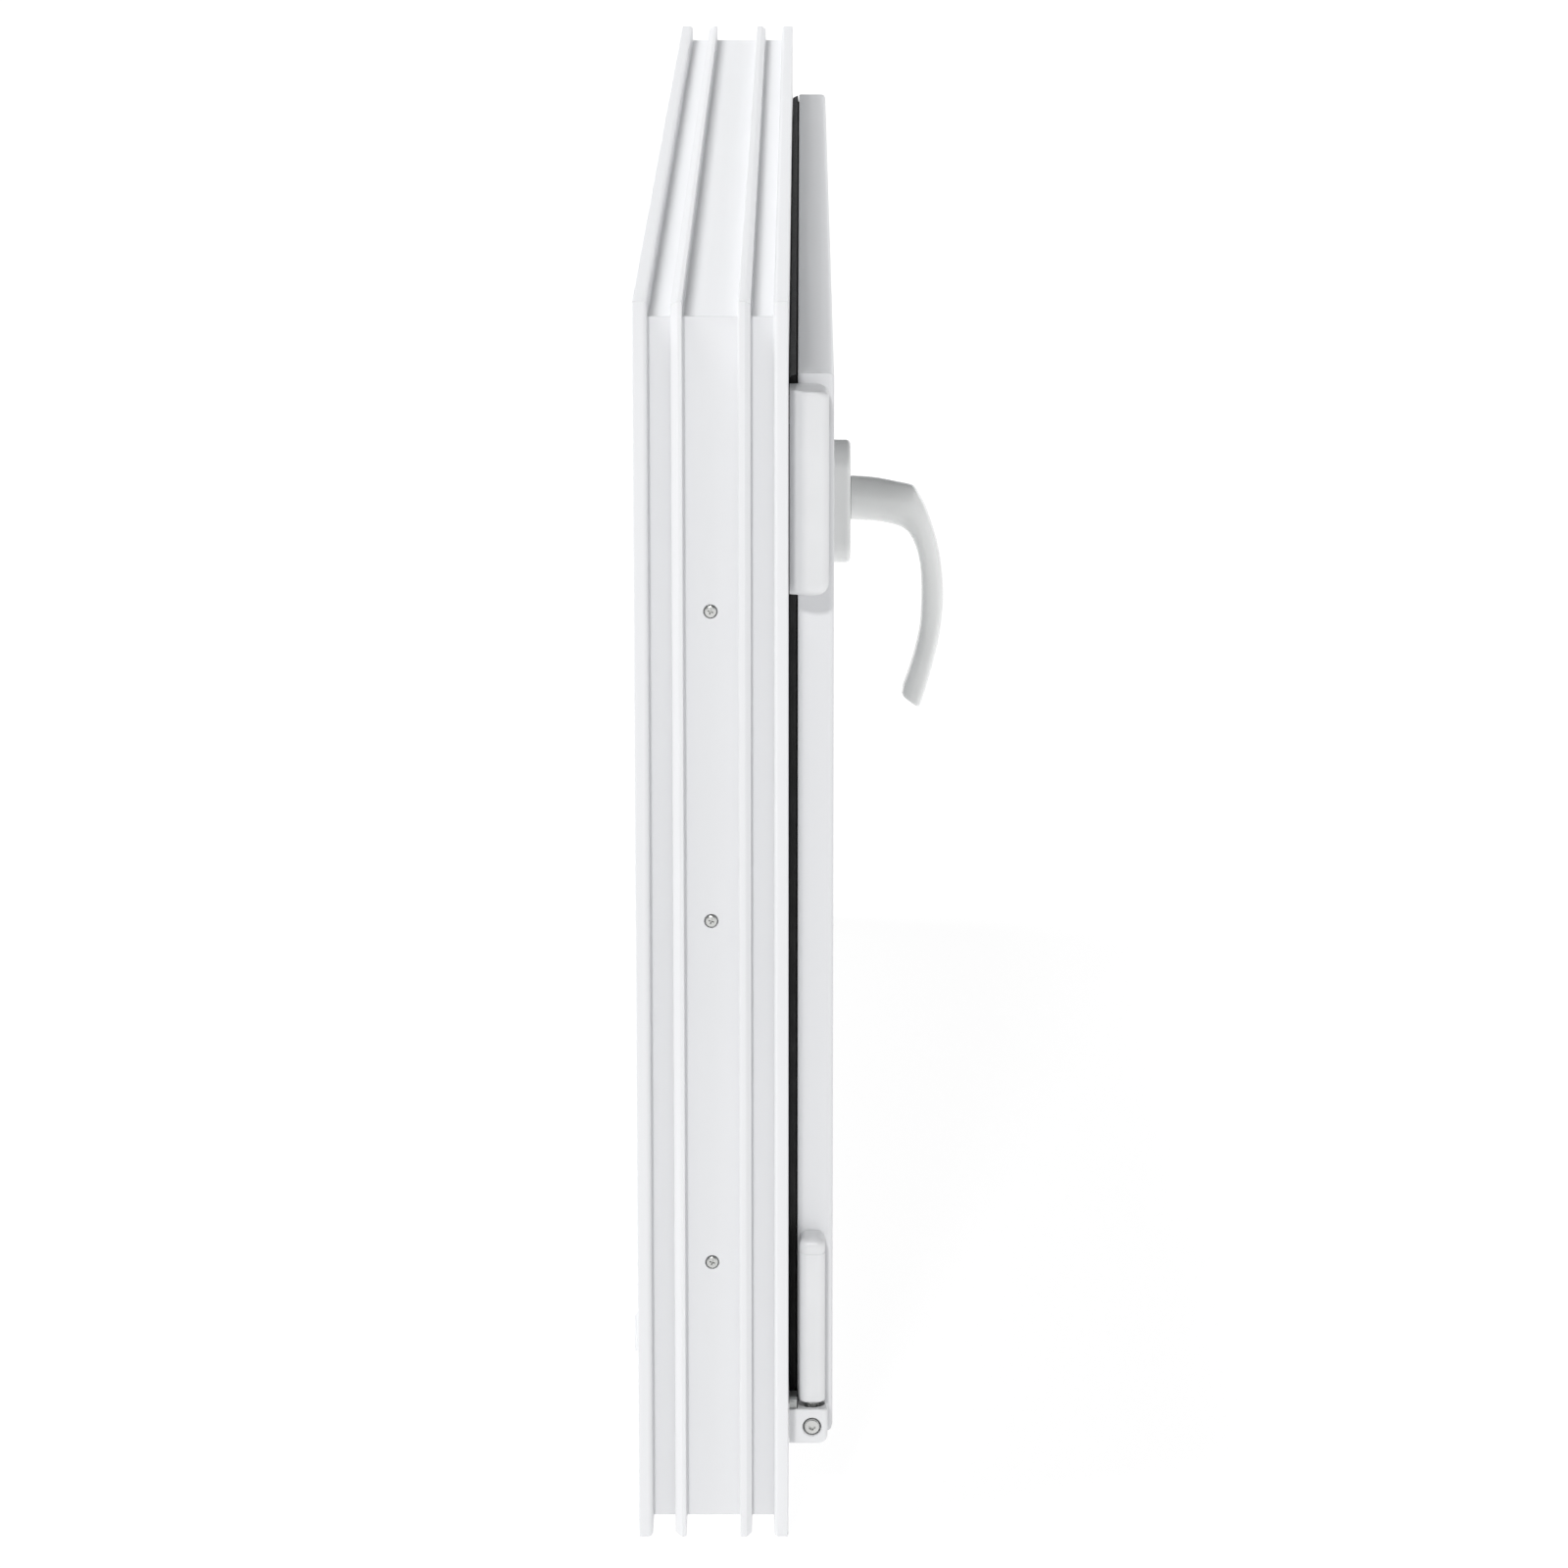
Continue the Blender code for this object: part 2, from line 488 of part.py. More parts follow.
def strip(a0, a1, d0, d1):
    return [(a0, d0), (a1, d0), (a1, d1), (a0, d1)]


prism("faceplate_side", [strip(110, 388.4, 44.9, 60.3)] + [slot(c - 4.2, c + STROKE + 4.2, CAM_D, 3.9) for c in SIDE_CAMS],
      in_side, *PLATE_H, ZINC, 0.35, 1.0)
prism("faceplate_top", [strip(-60, 388.4, 44.9, 60.3), slot(TOP_CAM - STROKE - 4.2, TOP_CAM + 4.2, CAM_D, 3.9)],
      in_top, *PLATE_H, ZINC, 0.35, 1.0)
prism("corner_drive", [rounded([(446.4, 389.0), (446.4, 446.4, 1.0), (389.0, 446.4), (389.0, 440.1), (440.1, 440.1), (440.1, 389.0)], 3)],
      lambda p, q, t: (p, t, q), y_of(58.2), y_of(47.0), ZINC, 0.35, 1.0)
prism("stay_guide_rail", [strip(-440, -62, 44.9, 60.3), slot(-240, -150, CAM_D, 3.0)], in_top, *PLATE_H, ZINC, 0.35, 1.0)

CAM = [(3.2, 59.0), (3.2, 49.6), (5.0, 49.0), (5.0, 46.4), (4.4, 45.8)]
side_rod = prism("drive_rod_side", [strip(118, 350, 47.0, 58.2)], in_side, *ROD_H, ZINC, 0.35, 1.0)
tools = []
for k, z in enumerate(SIDE_CAMS):
    tools.append(lathe(f"join_side_cam_{k}", (HALF, y_of(CAM_D), z), "X", [(r, -h) for r, h in CAM], STEEL, seg=20))
boolean(side_rod, tools, "UNION")
top_rod = prism("drive_rod_top", [strip(40, 352, 47.0, 58.2)], in_top, *ROD_H, ZINC, 0.35, 1.0)
tools = [lathe("join_top_cam", (TOP_CAM, y_of(CAM_D), HEIGHT), "Z", [(r, -h) for r, h in CAM], STEEL, seg=20)]
boolean(top_rod, tools, "UNION")

gearbox = prism("gearbox", [rounded([(SPINDLE_X - 8.9, 215.4, 2.0), (SPINDLE_X + 7.7, 215.4, 1.0),
                                     (SPINDLE_X + 7.7, 284.6, 1.0), (SPINDLE_X - 8.9, 284.6, 2.0)], 3),
                            circle(SPINDLE_X, SPINDLE_Z, 5.3, 20)],
                lambda p, q, t: (p, t, q), y_of(58.1), y_of(47.1), ZINC, 0.4, 1.0)
cuts = [
    box("cut_gearbox_slot", (HALF - 64.0, HALF - 59.4), (y_of(58.45), y_of(46.75)), (214.8, 285.2), ZINC),
    lathe("cut_spindle_pvc", (SPINDLE_X, 0, SPINDLE_Z), "Y", [(6.4, y_of(80)), (6.4, y_of(60))], ZINC, seg=20),
]
boolean(sash_members["handle"], cuts)
boolean(sash_steels["handle"], [
    lathe("cut_spindle_steel", (SPINDLE_X, 0, SPINDLE_Z), "Y", [(6.4, y_of(68)), (6.4, y_of(60))], ZINC, seg=20)])

# ---------------------------------------------------------------- handle
FACE_Y = y_of(S_ROOM)
ROSE_R, ROSE_HALF, ROSE_T = 14.0, 33.65, 13.8


def obround(inset, y, n=32, r=None):
    rr = (ROSE_R - inset) if r is None else r
    straight_half = (ROSE_HALF - ROSE_R) if r is None else 0.0
    pts = []
    for k in range(n):
        a = 2 * math.pi * (k + 0.5) / n
        s = straight_half if math.sin(a) > 0 else -straight_half
        pts.append((SPINDLE_X + rr * math.cos(a), y, SPINDLE_Z + s + rr * math.sin(a)))
    return pts


stack("rosette_cover", [
    obround(1.9, FACE_Y - 0.3), obround(0.0, FACE_Y - 0.3), obround(0.0, FACE_Y - 11.3), obround(0.35, FACE_Y - 12.4),
    obround(1.1, FACE_Y - 13.3), obround(2.5, FACE_Y - ROSE_T), obround(0, FACE_Y - ROSE_T, r=7.5),
    obround(0, FACE_Y - 11.6, r=7.5), obround(3.0, FACE_Y - 11.6), obround(1.9, FACE_Y - 10.6)],
    (0.72, 0.74, 0.72), 0.3, caps=False)
base_outline = [(p[0], p[2]) for p in obround(2.5, 0)]
prism("rosette_base", [base_outline, circle(SPINDLE_X, SPINDLE_Z, 5.6, 20),
                       circle(SPINDLE_X, SPINDLE_Z - 21.5, 2.7, 16), circle(SPINDLE_X, SPINDLE_Z + 21.5, 2.7, 16)],
      lambda p, q, t: (p, t, q), FACE_Y - 9.8, FACE_Y - 0.3, ZINC, 0.4, 1.0)

# (outer u, outer v), (inner u, inner v), half width, roundness; u away from the sash, v above the spindle
SECTIONS = [
    ((10.4, 7.0), (10.4, -7.0), 7.0, 2.0),
    ((14.15, 7.0), (14.15, -7.0), 7.0, 2.0),
    ((14.15, 12.9), (14.15, -9.4), 11.2, 2.1),
    ((14.9, 13.9), (14.9, -10.1), 12.0, 2.1),
    ((25.0, 13.2), (26.0, -10.5), 11.7, 2.2),
    ((36.1, 11.3), (35.6, -12.0), 11.4, 2.3),
    ((43.6, 9.8), (40.6, -13.4), 11.2, 2.4),
    ((47.8, 8.5), (44.0, -15.6), 11.1, 2.5),
    ((50.4, 4.9), (46.0, -17.8), 11.0, 2.6),
    ((53.6, -0.9), (47.6, -20.4), 10.9, 2.7),
    ((57.3, -10.2), (49.3, -24.4), 10.8, 2.8),
    ((60.6, -21.0), (50.8, -29.6), 10.6, 2.9),
    ((63.1, -33.0), (52.0, -37.6), 10.4, 3.0),
    ((64.5, -46.0), (52.5, -47.2), 10.2, 3.0),
    ((64.6, -55.6), (52.4, -57.3), 10.1, 3.0),
    ((63.6, -66.4), (51.8, -68.3), 10.1, 3.0),
    ((61.8, -77.4), (49.7, -79.3), 10.1, 3.0),
    ((58.7, -90.6), (46.4, -91.4), 10.0, 3.0),
    ((55.0, -104.0), (42.9, -101.6), 9.9, 3.0),
    ((52.6, -111.6), (42.3, -105.2), 9.6, 3.0),
    ((52.0, -113.1), (42.4, -106.5), 9.0, 3.0),
]


def grip_loops(sections, n=24):
    loops = []
    for (uo, vo), (ui, vi), w, power in sections:
        cu, cv = (uo + ui) / 2, (vo + vi) / 2
        au, av = (uo - ui) / 2, (vo - vi) / 2
        loop = []
        for k in range(n):
            a = 2 * math.pi * (k + 0.5) / n
            c, s = math.cos(a), math.sin(a)
            c = math.copysign(abs(c) ** (2 / power), c)
            s = math.copysign(abs(s) ** (2 / power), s)
            loop.append((SPINDLE_X + w * s, FACE_Y - (cu + au * c), SPINDLE_Z + cv + av * c))
        loops.append(loop)
    return loops


grip = stack("handle_grip", grip_loops(SECTIONS), (0.72, 0.74, 0.72), 0.28)
socket = box("cut_grip_socket", (SPINDLE_X - 3.8, SPINDLE_X + 3.8), (FACE_Y - 30.0, FACE_Y - 9.0),
             (SPINDLE_Z - 3.8, SPINDLE_Z + 3.8), ZINC)
boolean(grip, [socket])
origin_at(grip, SPINDLE_X, FACE_Y, SPINDLE_Z)
spindle = box("spindle", (SPINDLE_X - 3.5, SPINDLE_X + 3.5), (FACE_Y - 29.6, y_of(47.6)),
              (SPINDLE_Z - 3.5, SPINDLE_Z + 3.5), STEEL, 0.35, 1.0)
origin_at(spindle, SPINDLE_X, FACE_Y, SPINDLE_Z)
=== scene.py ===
"""Looks of the tilt-and-turn window: fine profiles, hardware, glass and materials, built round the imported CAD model."""
import json
import math

import bmesh
import bpy
from mathutils import Matrix, Vector
from mathutils.geometry import tessellate_polygon

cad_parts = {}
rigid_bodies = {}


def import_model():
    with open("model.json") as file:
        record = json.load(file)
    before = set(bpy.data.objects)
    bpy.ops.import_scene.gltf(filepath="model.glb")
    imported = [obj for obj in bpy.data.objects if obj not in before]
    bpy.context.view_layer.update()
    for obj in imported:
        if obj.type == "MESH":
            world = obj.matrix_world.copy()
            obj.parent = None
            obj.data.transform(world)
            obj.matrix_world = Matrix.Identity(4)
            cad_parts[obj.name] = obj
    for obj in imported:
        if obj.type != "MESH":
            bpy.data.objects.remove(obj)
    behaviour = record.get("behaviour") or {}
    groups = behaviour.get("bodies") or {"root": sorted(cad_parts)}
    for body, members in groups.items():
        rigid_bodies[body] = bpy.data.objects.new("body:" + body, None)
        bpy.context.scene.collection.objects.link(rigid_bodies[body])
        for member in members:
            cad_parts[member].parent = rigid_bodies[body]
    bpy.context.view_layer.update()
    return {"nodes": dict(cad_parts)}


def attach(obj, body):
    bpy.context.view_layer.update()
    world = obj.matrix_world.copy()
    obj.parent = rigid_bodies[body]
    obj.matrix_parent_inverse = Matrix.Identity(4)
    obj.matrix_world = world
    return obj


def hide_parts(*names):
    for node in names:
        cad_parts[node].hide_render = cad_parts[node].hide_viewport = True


for o in list(bpy.data.objects):
    bpy.data.objects.remove(o, do_unlink=True)

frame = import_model()
NODES = frame["nodes"]

MM = 0.001
HALF, HEIGHT, DEPTH = 500.0, 500.0, 60.0
AXIS_D, TILT_Z = 69.5, 40.0
TURN_X = -HALF + 26.0
AXIS_Y = DEPTH - AXIS_D
SPINDLE_X, SPINDLE_Z = HALF - 68.3, 250.0
S_ROOM = 77.8
FACE_Y = DEPTH - S_ROOM
SIDES = ("sill", "head", "hinge", "handle")


def y_of(d):
    return DEPTH - d


# ================================================================ node materials
def new_material(name):
    m = bpy.data.materials.new(name)
    m.use_nodes = True
    nt = m.node_tree
    p = nt.nodes["Principled BSDF"]
    return m, nt, p


def coords(nt, scale, rotation=(0, 0, 0)):
    tc = nt.nodes.new("ShaderNodeTexCoord")
    mp = nt.nodes.new("ShaderNodeMapping")
    mp.inputs["Scale"].default_value = scale
    mp.inputs["Rotation"].default_value = rotation
    nt.links.new(tc.outputs["Object"], mp.inputs["Vector"])
    return mp.outputs["Vector"]


def noise(nt, vector, scale, detail=3.0, rough=0.55):
    n = nt.nodes.new("ShaderNodeTexNoise")
    n.inputs["Scale"].default_value = scale
    n.inputs["Detail"].default_value = detail
    n.inputs["Roughness"].default_value = rough
    nt.links.new(vector, n.inputs["Vector"])
    return n.outputs["Fac"]


def remap(nt, fac, lo, hi, a=0.3, b=0.7):
    r = nt.nodes.new("ShaderNodeMapRange")
    r.inputs["From Min"].default_value = a
    r.inputs["From Max"].default_value = b
    r.inputs["To Min"].default_value = lo
    r.inputs["To Max"].default_value = hi
    nt.links.new(fac, r.inputs["Value"])
    return r.outputs["Result"]


def ramp(nt, fac, stops):
    r = nt.nodes.new("ShaderNodeValToRGB")
    e = r.color_ramp.elements
    e[0].position, e[0].color = stops[0][0], (*stops[0][1], 1)
    e[1].position, e[1].color = stops[-1][0], (*stops[-1][1], 1)
    for at, c in stops[1:-1]:
        x = e.new(at)
        x.color = (*c, 1)
    nt.links.new(fac, r.inputs["Fac"])
    return r.outputs["Color"]


def bump(nt, p, layers):
    """layers: (height socket, strength, distance in metres)"""
    last = None
    for height, strength, distance in layers:
        b = nt.nodes.new("ShaderNodeBump")
        b.inputs["Strength"].default_value = strength
        b.inputs["Distance"].default_value = distance
        nt.links.new(height, b.inputs["Height"])
        if last is not None:
            nt.links.new(last, b.inputs["Normal"])
        last = b.outputs["Normal"]
    nt.links.new(last, p.inputs["Normal"])


def pvc(name, axis, tone=(0.78, 0.785, 0.80), low=0.29, high=0.32):
    """White window PVC: die lines along the extrusion, faint orange peel, a little tone drift."""
    m, nt, p = new_material(name)
    stretch = {"X": (2.0, 420.0, 420.0), "Z": (420.0, 420.0, 2.0), None: (60.0, 60.0, 60.0)}[axis]
    lines = noise(nt, coords(nt, stretch), 1.0, 2.0, 0.6)
    peel = noise(nt, coords(nt, (1, 1, 1)), 950.0, 2.0, 0.5)
    drift = noise(nt, coords(nt, (1, 1, 1)), 7.0, 2.0, 0.5)
    a = tuple(v * 0.99 for v in tone)
    b = tuple(min(1.0, v * 1.006) for v in tone)
    nt.links.new(ramp(nt, drift, [(0.3, a), (0.7, b)]), p.inputs["Base Color"])
    nt.links.new(remap(nt, lines, low, high), p.inputs["Roughness"])
    p.inputs["IOR"].default_value = 1.53
    p.inputs["Specular IOR Level"].default_value = 0.5
    bump(nt, p, [(lines, 0.03, 0.00001), (peel, 0.04, 0.00001)])
    return m


def rubber(name, tone=0.012):
    m, nt, p = new_material(name)
    grain = noise(nt, coords(nt, (1, 1, 1)), 1500.0, 3.0, 0.6)
    dust = noise(nt, coords(nt, (1, 1, 1)), 90.0, 4.0, 0.65)
    nt.links.new(ramp(nt, dust, [(0.35, (tone, tone, tone)), (0.75, (tone * 2.1, tone * 2.1, tone * 2.15))]), p.inputs["Base Color"])
    nt.links.new(remap(nt, grain, 0.48, 0.68), p.inputs["Roughness"])
    p.inputs["Specular IOR Level"].default_value = 0.35
    bump(nt, p, [(grain, 0.25, 0.00008)])
    return m


def metal(name, tone, rough=(0.24, 0.38), brush="Z", fine=700.0, spangle=False):
    """Zinc-plated or brushed hardware."""
    m, nt, p = new_material(name)
    long = {"X": (6, fine, fine), "Y": (fine, 6, fine), "Z": (fine, fine, 6), None: (fine, fine, fine)}[brush]
    grain = noise(nt, coords(nt, long), 1.0, 3.0, 0.6)
    if spangle:
        v = nt.nodes.new("ShaderNodeTexVoronoi")
        v.inputs["Scale"].default_value = 190.0
        nt.links.new(coords(nt, (1, 1, 1)), v.inputs["Vector"])
        sep = nt.nodes.new("ShaderNodeSeparateColor")
        nt.links.new(v.outputs["Color"], sep.inputs["Color"])
        base = sep.outputs["Red"]
        lo, hi = 0.0, 1.0
    else:
        base = noise(nt, coords(nt, (1, 1, 1)), 55.0, 3.0, 0.6)
        lo, hi = 0.3, 0.7
    a = tuple(v * 0.84 for v in tone)
    nt.links.new(ramp(nt, base, [(lo, a), (hi, tone)]), p.inputs["Base Color"])
    p.inputs["Metallic"].default_value = 1.0
    nt.links.new(remap(nt, grain, rough[0], rough[1]), p.inputs["Roughness"])
    bump(nt, p, [(grain, 0.12, 0.00004)])
    return m


def lacquer(name, tone):
    """Powder-lacquered handle: satin gloss with a very fine texture."""
    m, nt, p = new_material(name)
    flake = noise(nt, coords(nt, (1, 1, 1)), 2600.0, 2.0, 0.5)
    drift = noise(nt, coords(nt, (1, 1, 1)), 28.0, 3.0, 0.5)
    a = tuple(v * 0.965 for v in tone)
    b = tuple(v * 1.02 for v in tone)
    nt.links.new(ramp(nt, drift, [(0.3, a), (0.7, b)]), p.inputs["Base Color"])
    nt.links.new(remap(nt, flake, 0.22, 0.28), p.inputs["Roughness"])
    p.inputs["IOR"].default_value = 1.5
    p.inputs["Coat Weight"].default_value = 0.35
    p.inputs["Coat Roughness"].default_value = 0.12
    bump(nt, p, [(flake, 0.05, 0.00003)])
    return m


def glass(name):
    m, nt, p = new_material(name)
    smear = noise(nt, coords(nt, (3, 3, 3)), 6.0, 4.0, 0.6)
    nt.links.new(ramp(nt, smear, [(0.3, (0.955, 0.985, 0.972)), (0.7, (0.97, 0.99, 0.982))]), p.inputs["Base Color"])
    nt.links.new(remap(nt, smear, 0.0, 0.012), p.inputs["Roughness"])
    p.inputs["IOR"].default_value = 1.5
    p.inputs["Transmission Weight"].default_value = 1.0
    return m


def spacer_metal(name):
    """Rolled aluminium spacer with its rows of vent perforations, their holes drawn as dark dots of painted shade."""
    m, nt, p = new_material(name)
    vec = coords(nt, (1, 1, 1))
    v = nt.nodes.new("ShaderNodeTexVoronoi")
    v.inputs["Scale"].default_value = 420.0
    v.inputs["Randomness"].default_value = 0.05
    nt.links.new(vec, v.inputs["Vector"])
    grain = noise(nt, coords(nt, (40, 800, 40)), 1.0, 2.0, 0.5)
    # the dark dots are painted shade standing in for the perforation holes; the dot pattern itself is real
    nt.links.new(ramp(nt, v.outputs["Distance"], [(0.10, (0.10, 0.10, 0.105)), (0.2, (0.50, 0.51, 0.52)), (0.8, (0.56, 0.57, 0.58))]), p.inputs["Base Color"])
    p.inputs["Metallic"].default_value = 0.9
    nt.links.new(remap(nt, grain, 0.3, 0.42), p.inputs["Roughness"])
    bump(nt, p, [(v.outputs["Distance"], 0.3, 0.0002)])
    return m


def moulded(name, tone, low=0.3, high=0.4, texture=1200.0, depth=0.00006):
    """Injection-moulded cover or block."""
    m, nt, p = new_material(name)
    grain = noise(nt, coords(nt, (1, 1, 1)), texture, 2.0, 0.5)
    drift = noise(nt, coords(nt, (1, 1, 1)), 35.0, 3.0, 0.5)
    a = tuple(v * 0.97 for v in tone)
    b = tuple(min(1.0, v * 1.015) for v in tone)
    nt.links.new(ramp(nt, drift, [(0.3, a), (0.7, b)]), p.inputs["Base Color"])
    nt.links.new(remap(nt, grain, low, high), p.inputs["Roughness"])
    p.inputs["IOR"].default_value = 1.5
    bump(nt, p, [(grain, 0.06, depth)])
    return m


PVC_X = pvc("pvc_along_x", "X")
PVC_Z = pvc("pvc_along_z", "Z")
BEAD_X = pvc("bead_along_x", "X", (0.79, 0.795, 0.81), 0.25, 0.29)
BEAD_Z = pvc("bead_along_z", "Z", (0.79, 0.795, 0.81), 0.25, 0.29)
EPDM = rubber("epdm_black", 0.014)
EPDM_GREY = rubber("epdm_soft", 0.02)
COVER = moulded("white_cover", (0.785, 0.79, 0.80), 0.28, 0.30, 260.0, 0.000004)
CAP = moulded("drain_cap_white", (0.82, 0.83, 0.845), 0.32, 0.42, 900.0, 0.00002)
ZINC_Z = metal("zinc_plate_z", (0.60, 0.61, 0.60), brush="Z")
ZINC_X = metal("zinc_plate_x", (0.60, 0.61, 0.60), brush="X")
CAST = metal("die_cast_zinc", (0.50, 0.51, 0.505), (0.36, 0.5), None, 1100.0)
BRIGHT = metal("bright_steel", (0.66, 0.665, 0.65), (0.2, 0.32), None, 900.0)
GALV = metal("galvanised_steel", (0.56, 0.575, 0.58), (0.34, 0.5), None, 500.0, spangle=True)
LACQUER = lacquer("handle_lacquer", (0.945, 0.953, 0.947))
GLASS = glass("clear_glass")
SPACER = spacer_metal("spacer_bar_metal")
BLOCK = moulded("glazing_block_blue", (0.045, 0.11, 0.28), 0.45, 0.6, 700.0, 0.0001)


# ================================================================ mesh helpers
def publish(name, bm, material, body, replaces=(), sharp=30.0, weighted=True, weld=1e-4, smooth=True):
    if weld:
        bmesh.ops.remove_doubles(bm, verts=bm.verts, dist=weld)
    bmesh.ops.recalc_face_normals(bm, faces=bm.faces)
    if bm.calc_volume(signed=True) < 0:
        bmesh.ops.reverse_faces(bm, faces=bm.faces)
    for f in bm.faces:
        f.smooth = smooth
    for e in bm.edges:
        if len(e.link_faces) == 2 and e.calc_face_angle(0) > math.radians(sharp):
            e.smooth = False
    bmesh.ops.scale(bm, vec=(MM, MM, MM), verts=bm.verts)
    me = bpy.data.meshes.new(name)
    bm.to_mesh(me)
    bm.free()
    ob = bpy.data.objects.new(name, me)
    bpy.context.scene.collection.objects.link(ob)
    for m in (material if isinstance(material, (list, tuple)) else [material]):
        me.materials.append(m)
    if body:
        if replaces:
            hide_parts(*replaces)
        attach(ob, body)
    if weighted:
        w = ob.modifiers.new("weighted", "WEIGHTED_NORMAL")
        w.keep_sharp = True
        w.weight = 90
    return ob


def rounded(points, seg=6):
    out = []
    n = len(points)
    for i, p in enumerate(points):
        here = Vector(p[:2])
        r = p[2] if len(p) > 2 else 0
        if r <= 0:
            out.append((here.x, here.y))
            continue
        a = (Vector(points[i - 1][:2]) - here).normalized()
        b = (Vector(points[(i + 1) % n][:2]) - here).normalized()
        half = a.angle(b) / 2
        cut = r / math.tan(half)
        centre = here + (a + b).normalized() * (r / math.sin(half))
        p0, p1 = here + a * cut - centre, here + b * cut - centre
        t0, t1 = math.atan2(p0.y, p0.x), math.atan2(p1.y, p1.x)
        dt = (t1 - t0 + math.pi) % (2 * math.pi) - math.pi
        for j in range(seg + 1):
            t = t0 + dt * j / seg
            out.append((centre.x + r * math.cos(t), centre.y + r * math.sin(t)))
    return out


def tube(bm, loops, places):
    """Profile loops through two or more placements, closed at both ends."""
    flat = [p for loop in loops for p in loop]
    rows = [[bm.verts.new(f(p)) for p in flat] for f in places]
    for va, vb in zip(rows, rows[1:]):
        at = 0
        for loop in loops:
            n = len(loop)
            for i in range(n):
                j = (i + 1) % n
                bm.faces.new((va[at + i], va[at + j], vb[at + j], vb[at + i]))
            at += n
    for t in tessellate_polygon([[Vector((p[0], p[1], 0)) for p in loop] for loop in loops]):
        if len(set(t)) == 3:
            bm.faces.new([rows[0][k] for k in t])
            bm.faces.new([rows[-1][k] for k in reversed(t)])
    return rows


def on_side(side, p, s):
    h, d = p
    if side in ("sill", "head"):
        return (s, y_of(d), h if side == "sill" else HEIGHT - h)
    return ((-HALF + h) if side == "hinge" else (HALF - h), y_of(d), s)


def member_bmesh(side, loops, gap=0.1, groove=None):
    """A mitred length. groove=(low depth, high depth, how deep) sinks the weld seam on the two faces."""
    def sunk(p):
        if not groove:
            return p
        lo, hi, by = groove
        h, d = p
        return (h, max(d, lo + by) if d < lo + 0.9 else (min(d, hi - by) if d > hi - 0.9 else d))

    def place(end, s, sink):
        def f(p):
            h = p[0]
            q = sunk(p) if sink else p
            if side in ("sill", "head"):
                return on_side(side, q, end * (HALF - h - gap - s))
            z = h + gap + s
            return on_side(side, q, z if end < 0 else HEIGHT - z)
        return f

    if groove:
        steps = [(0, 1), (1.3, 1), (1.65, 0)]
    else:
        steps = [(0, 0)]
    places = [place(-1, s, k) for s, k in steps] + [place(1, s, k) for s, k in reversed(steps)]
    bm = bmesh.new()
    tube(bm, loops, places)
    return bm


def straight_bmesh(side, loops, s0, s1, steps=None):
    bm = bmesh.new()
    tube(bm, loops, [lambda p, s=s: on_side(side, p, s) for s in (steps or (s0, s1))])
    return bm


def ring_bmesh(profile):
    bm = bmesh.new()
    corners = []
    for sx, sz in ((-1, -1), (1, -1), (1, 1), (-1, 1)):
        corners.append([bm.verts.new((sx * (HALF - h), y_of(d), h if sz < 0 else HEIGHT - h)) for h, d in profile])
    n = len(profile)
    for c in range(4):
        a, b = corners[c], corners[(c + 1) % 4]
        for i in range(n):
            j = (i + 1) % n
            bm.faces.new((a[i], a[j], b[j], b[i]))
    return bm


def prism_bmesh(loops, place, levels):
    bm = bmesh.new()
    tube(bm, loops, [lambda p, t=t: place(p[0], p[1], t) for t in levels])
    return bm


def stack_bmesh(loops, caps=True):
    bm = bmesh.new()
    rows = [[bm.verts.new(p) for p in loop] for loop in loops]
    n = len(rows[0])
    pairs = list(zip(rows, rows[1:]))
    if not caps:
        pairs.append((rows[-1], rows[0]))
    for a, b in pairs:
        for i in range(n):
            j = (i + 1) % n
            bm.faces.new((a[i], a[j], b[j], b[i]))
    if caps:
        bm.faces.new(rows[0][::-1])
        bm.faces.new(rows[-1])
    return bm


def lathe_bmesh(centre, axis, profile, seg=48):
    bm = bmesh.new()
    rows = []
    cx, cy, cz = centre
    for r, t in profile:
        row = []
        for k in range(seg):
            a = 2 * math.pi * k / seg
            u, v = max(r, 2e-3) * math.cos(a), max(r, 2e-3) * math.sin(a)
            row.append(bm.verts.new({"X": (cx + t, cy + u, cz + v), "Y": (cx + u, cy + t, cz + v),
                                     "Z": (cx + u, cy + v, cz + t)}[axis]))
        rows.append(row)
    for a, b in zip(rows, rows[1:]):
        for i in range(seg):
            j = (i + 1) % seg
            bm.faces.new((a[i], a[j], b[j], b[i]))
    bm.faces.new(rows[0][::-1])
    bm.faces.new(rows[-1])
    return bm


def box_bmesh(x, y, z):
    bm = bmesh.new()
    tube(bm, [[(x[0], y[0]), (x[1], y[0]), (x[1], y[1]), (x[0], y[1])]],
         [lambda p, t=t: (p[0], p[1], t) for t in z])
    return bm


def bar_bmesh(a, b, w):
    """Square bar from a to b."""
    a, b = Vector(a), Vector(b)
    d = (b - a).normalized()
    u = d.orthogonal().normalized()
    v = d.cross(u)
    bm = bmesh.new()
    rows = [[bm.verts.new(p + (u * i + v * j) * w / 2) for i, j in ((-1, -1), (1, -1), (1, 1), (-1, 1))] for p in (a, b)]
    for i in range(4):
        j = (i + 1) % 4
        bm.faces.new((rows[0][i], rows[0][j], rows[1][j], rows[1][i]))
    bm.faces.new(rows[0][::-1])
    bm.faces.new(rows[1])
    return bm


def cutter(bm):
    bmesh.ops.recalc_face_normals(bm, faces=bm.faces)
    if bm.calc_volume(signed=True) < 0:
        bmesh.ops.reverse_faces(bm, faces=bm.faces)
    bmesh.ops.scale(bm, vec=(MM, MM, MM), verts=bm.verts)
    me = bpy.data.meshes.new("cutter")
    bm.to_mesh(me)
    bm.free()
    ob = bpy.data.objects.new("cutter", me)
    bpy.context.scene.collection.objects.link(ob)
    return ob


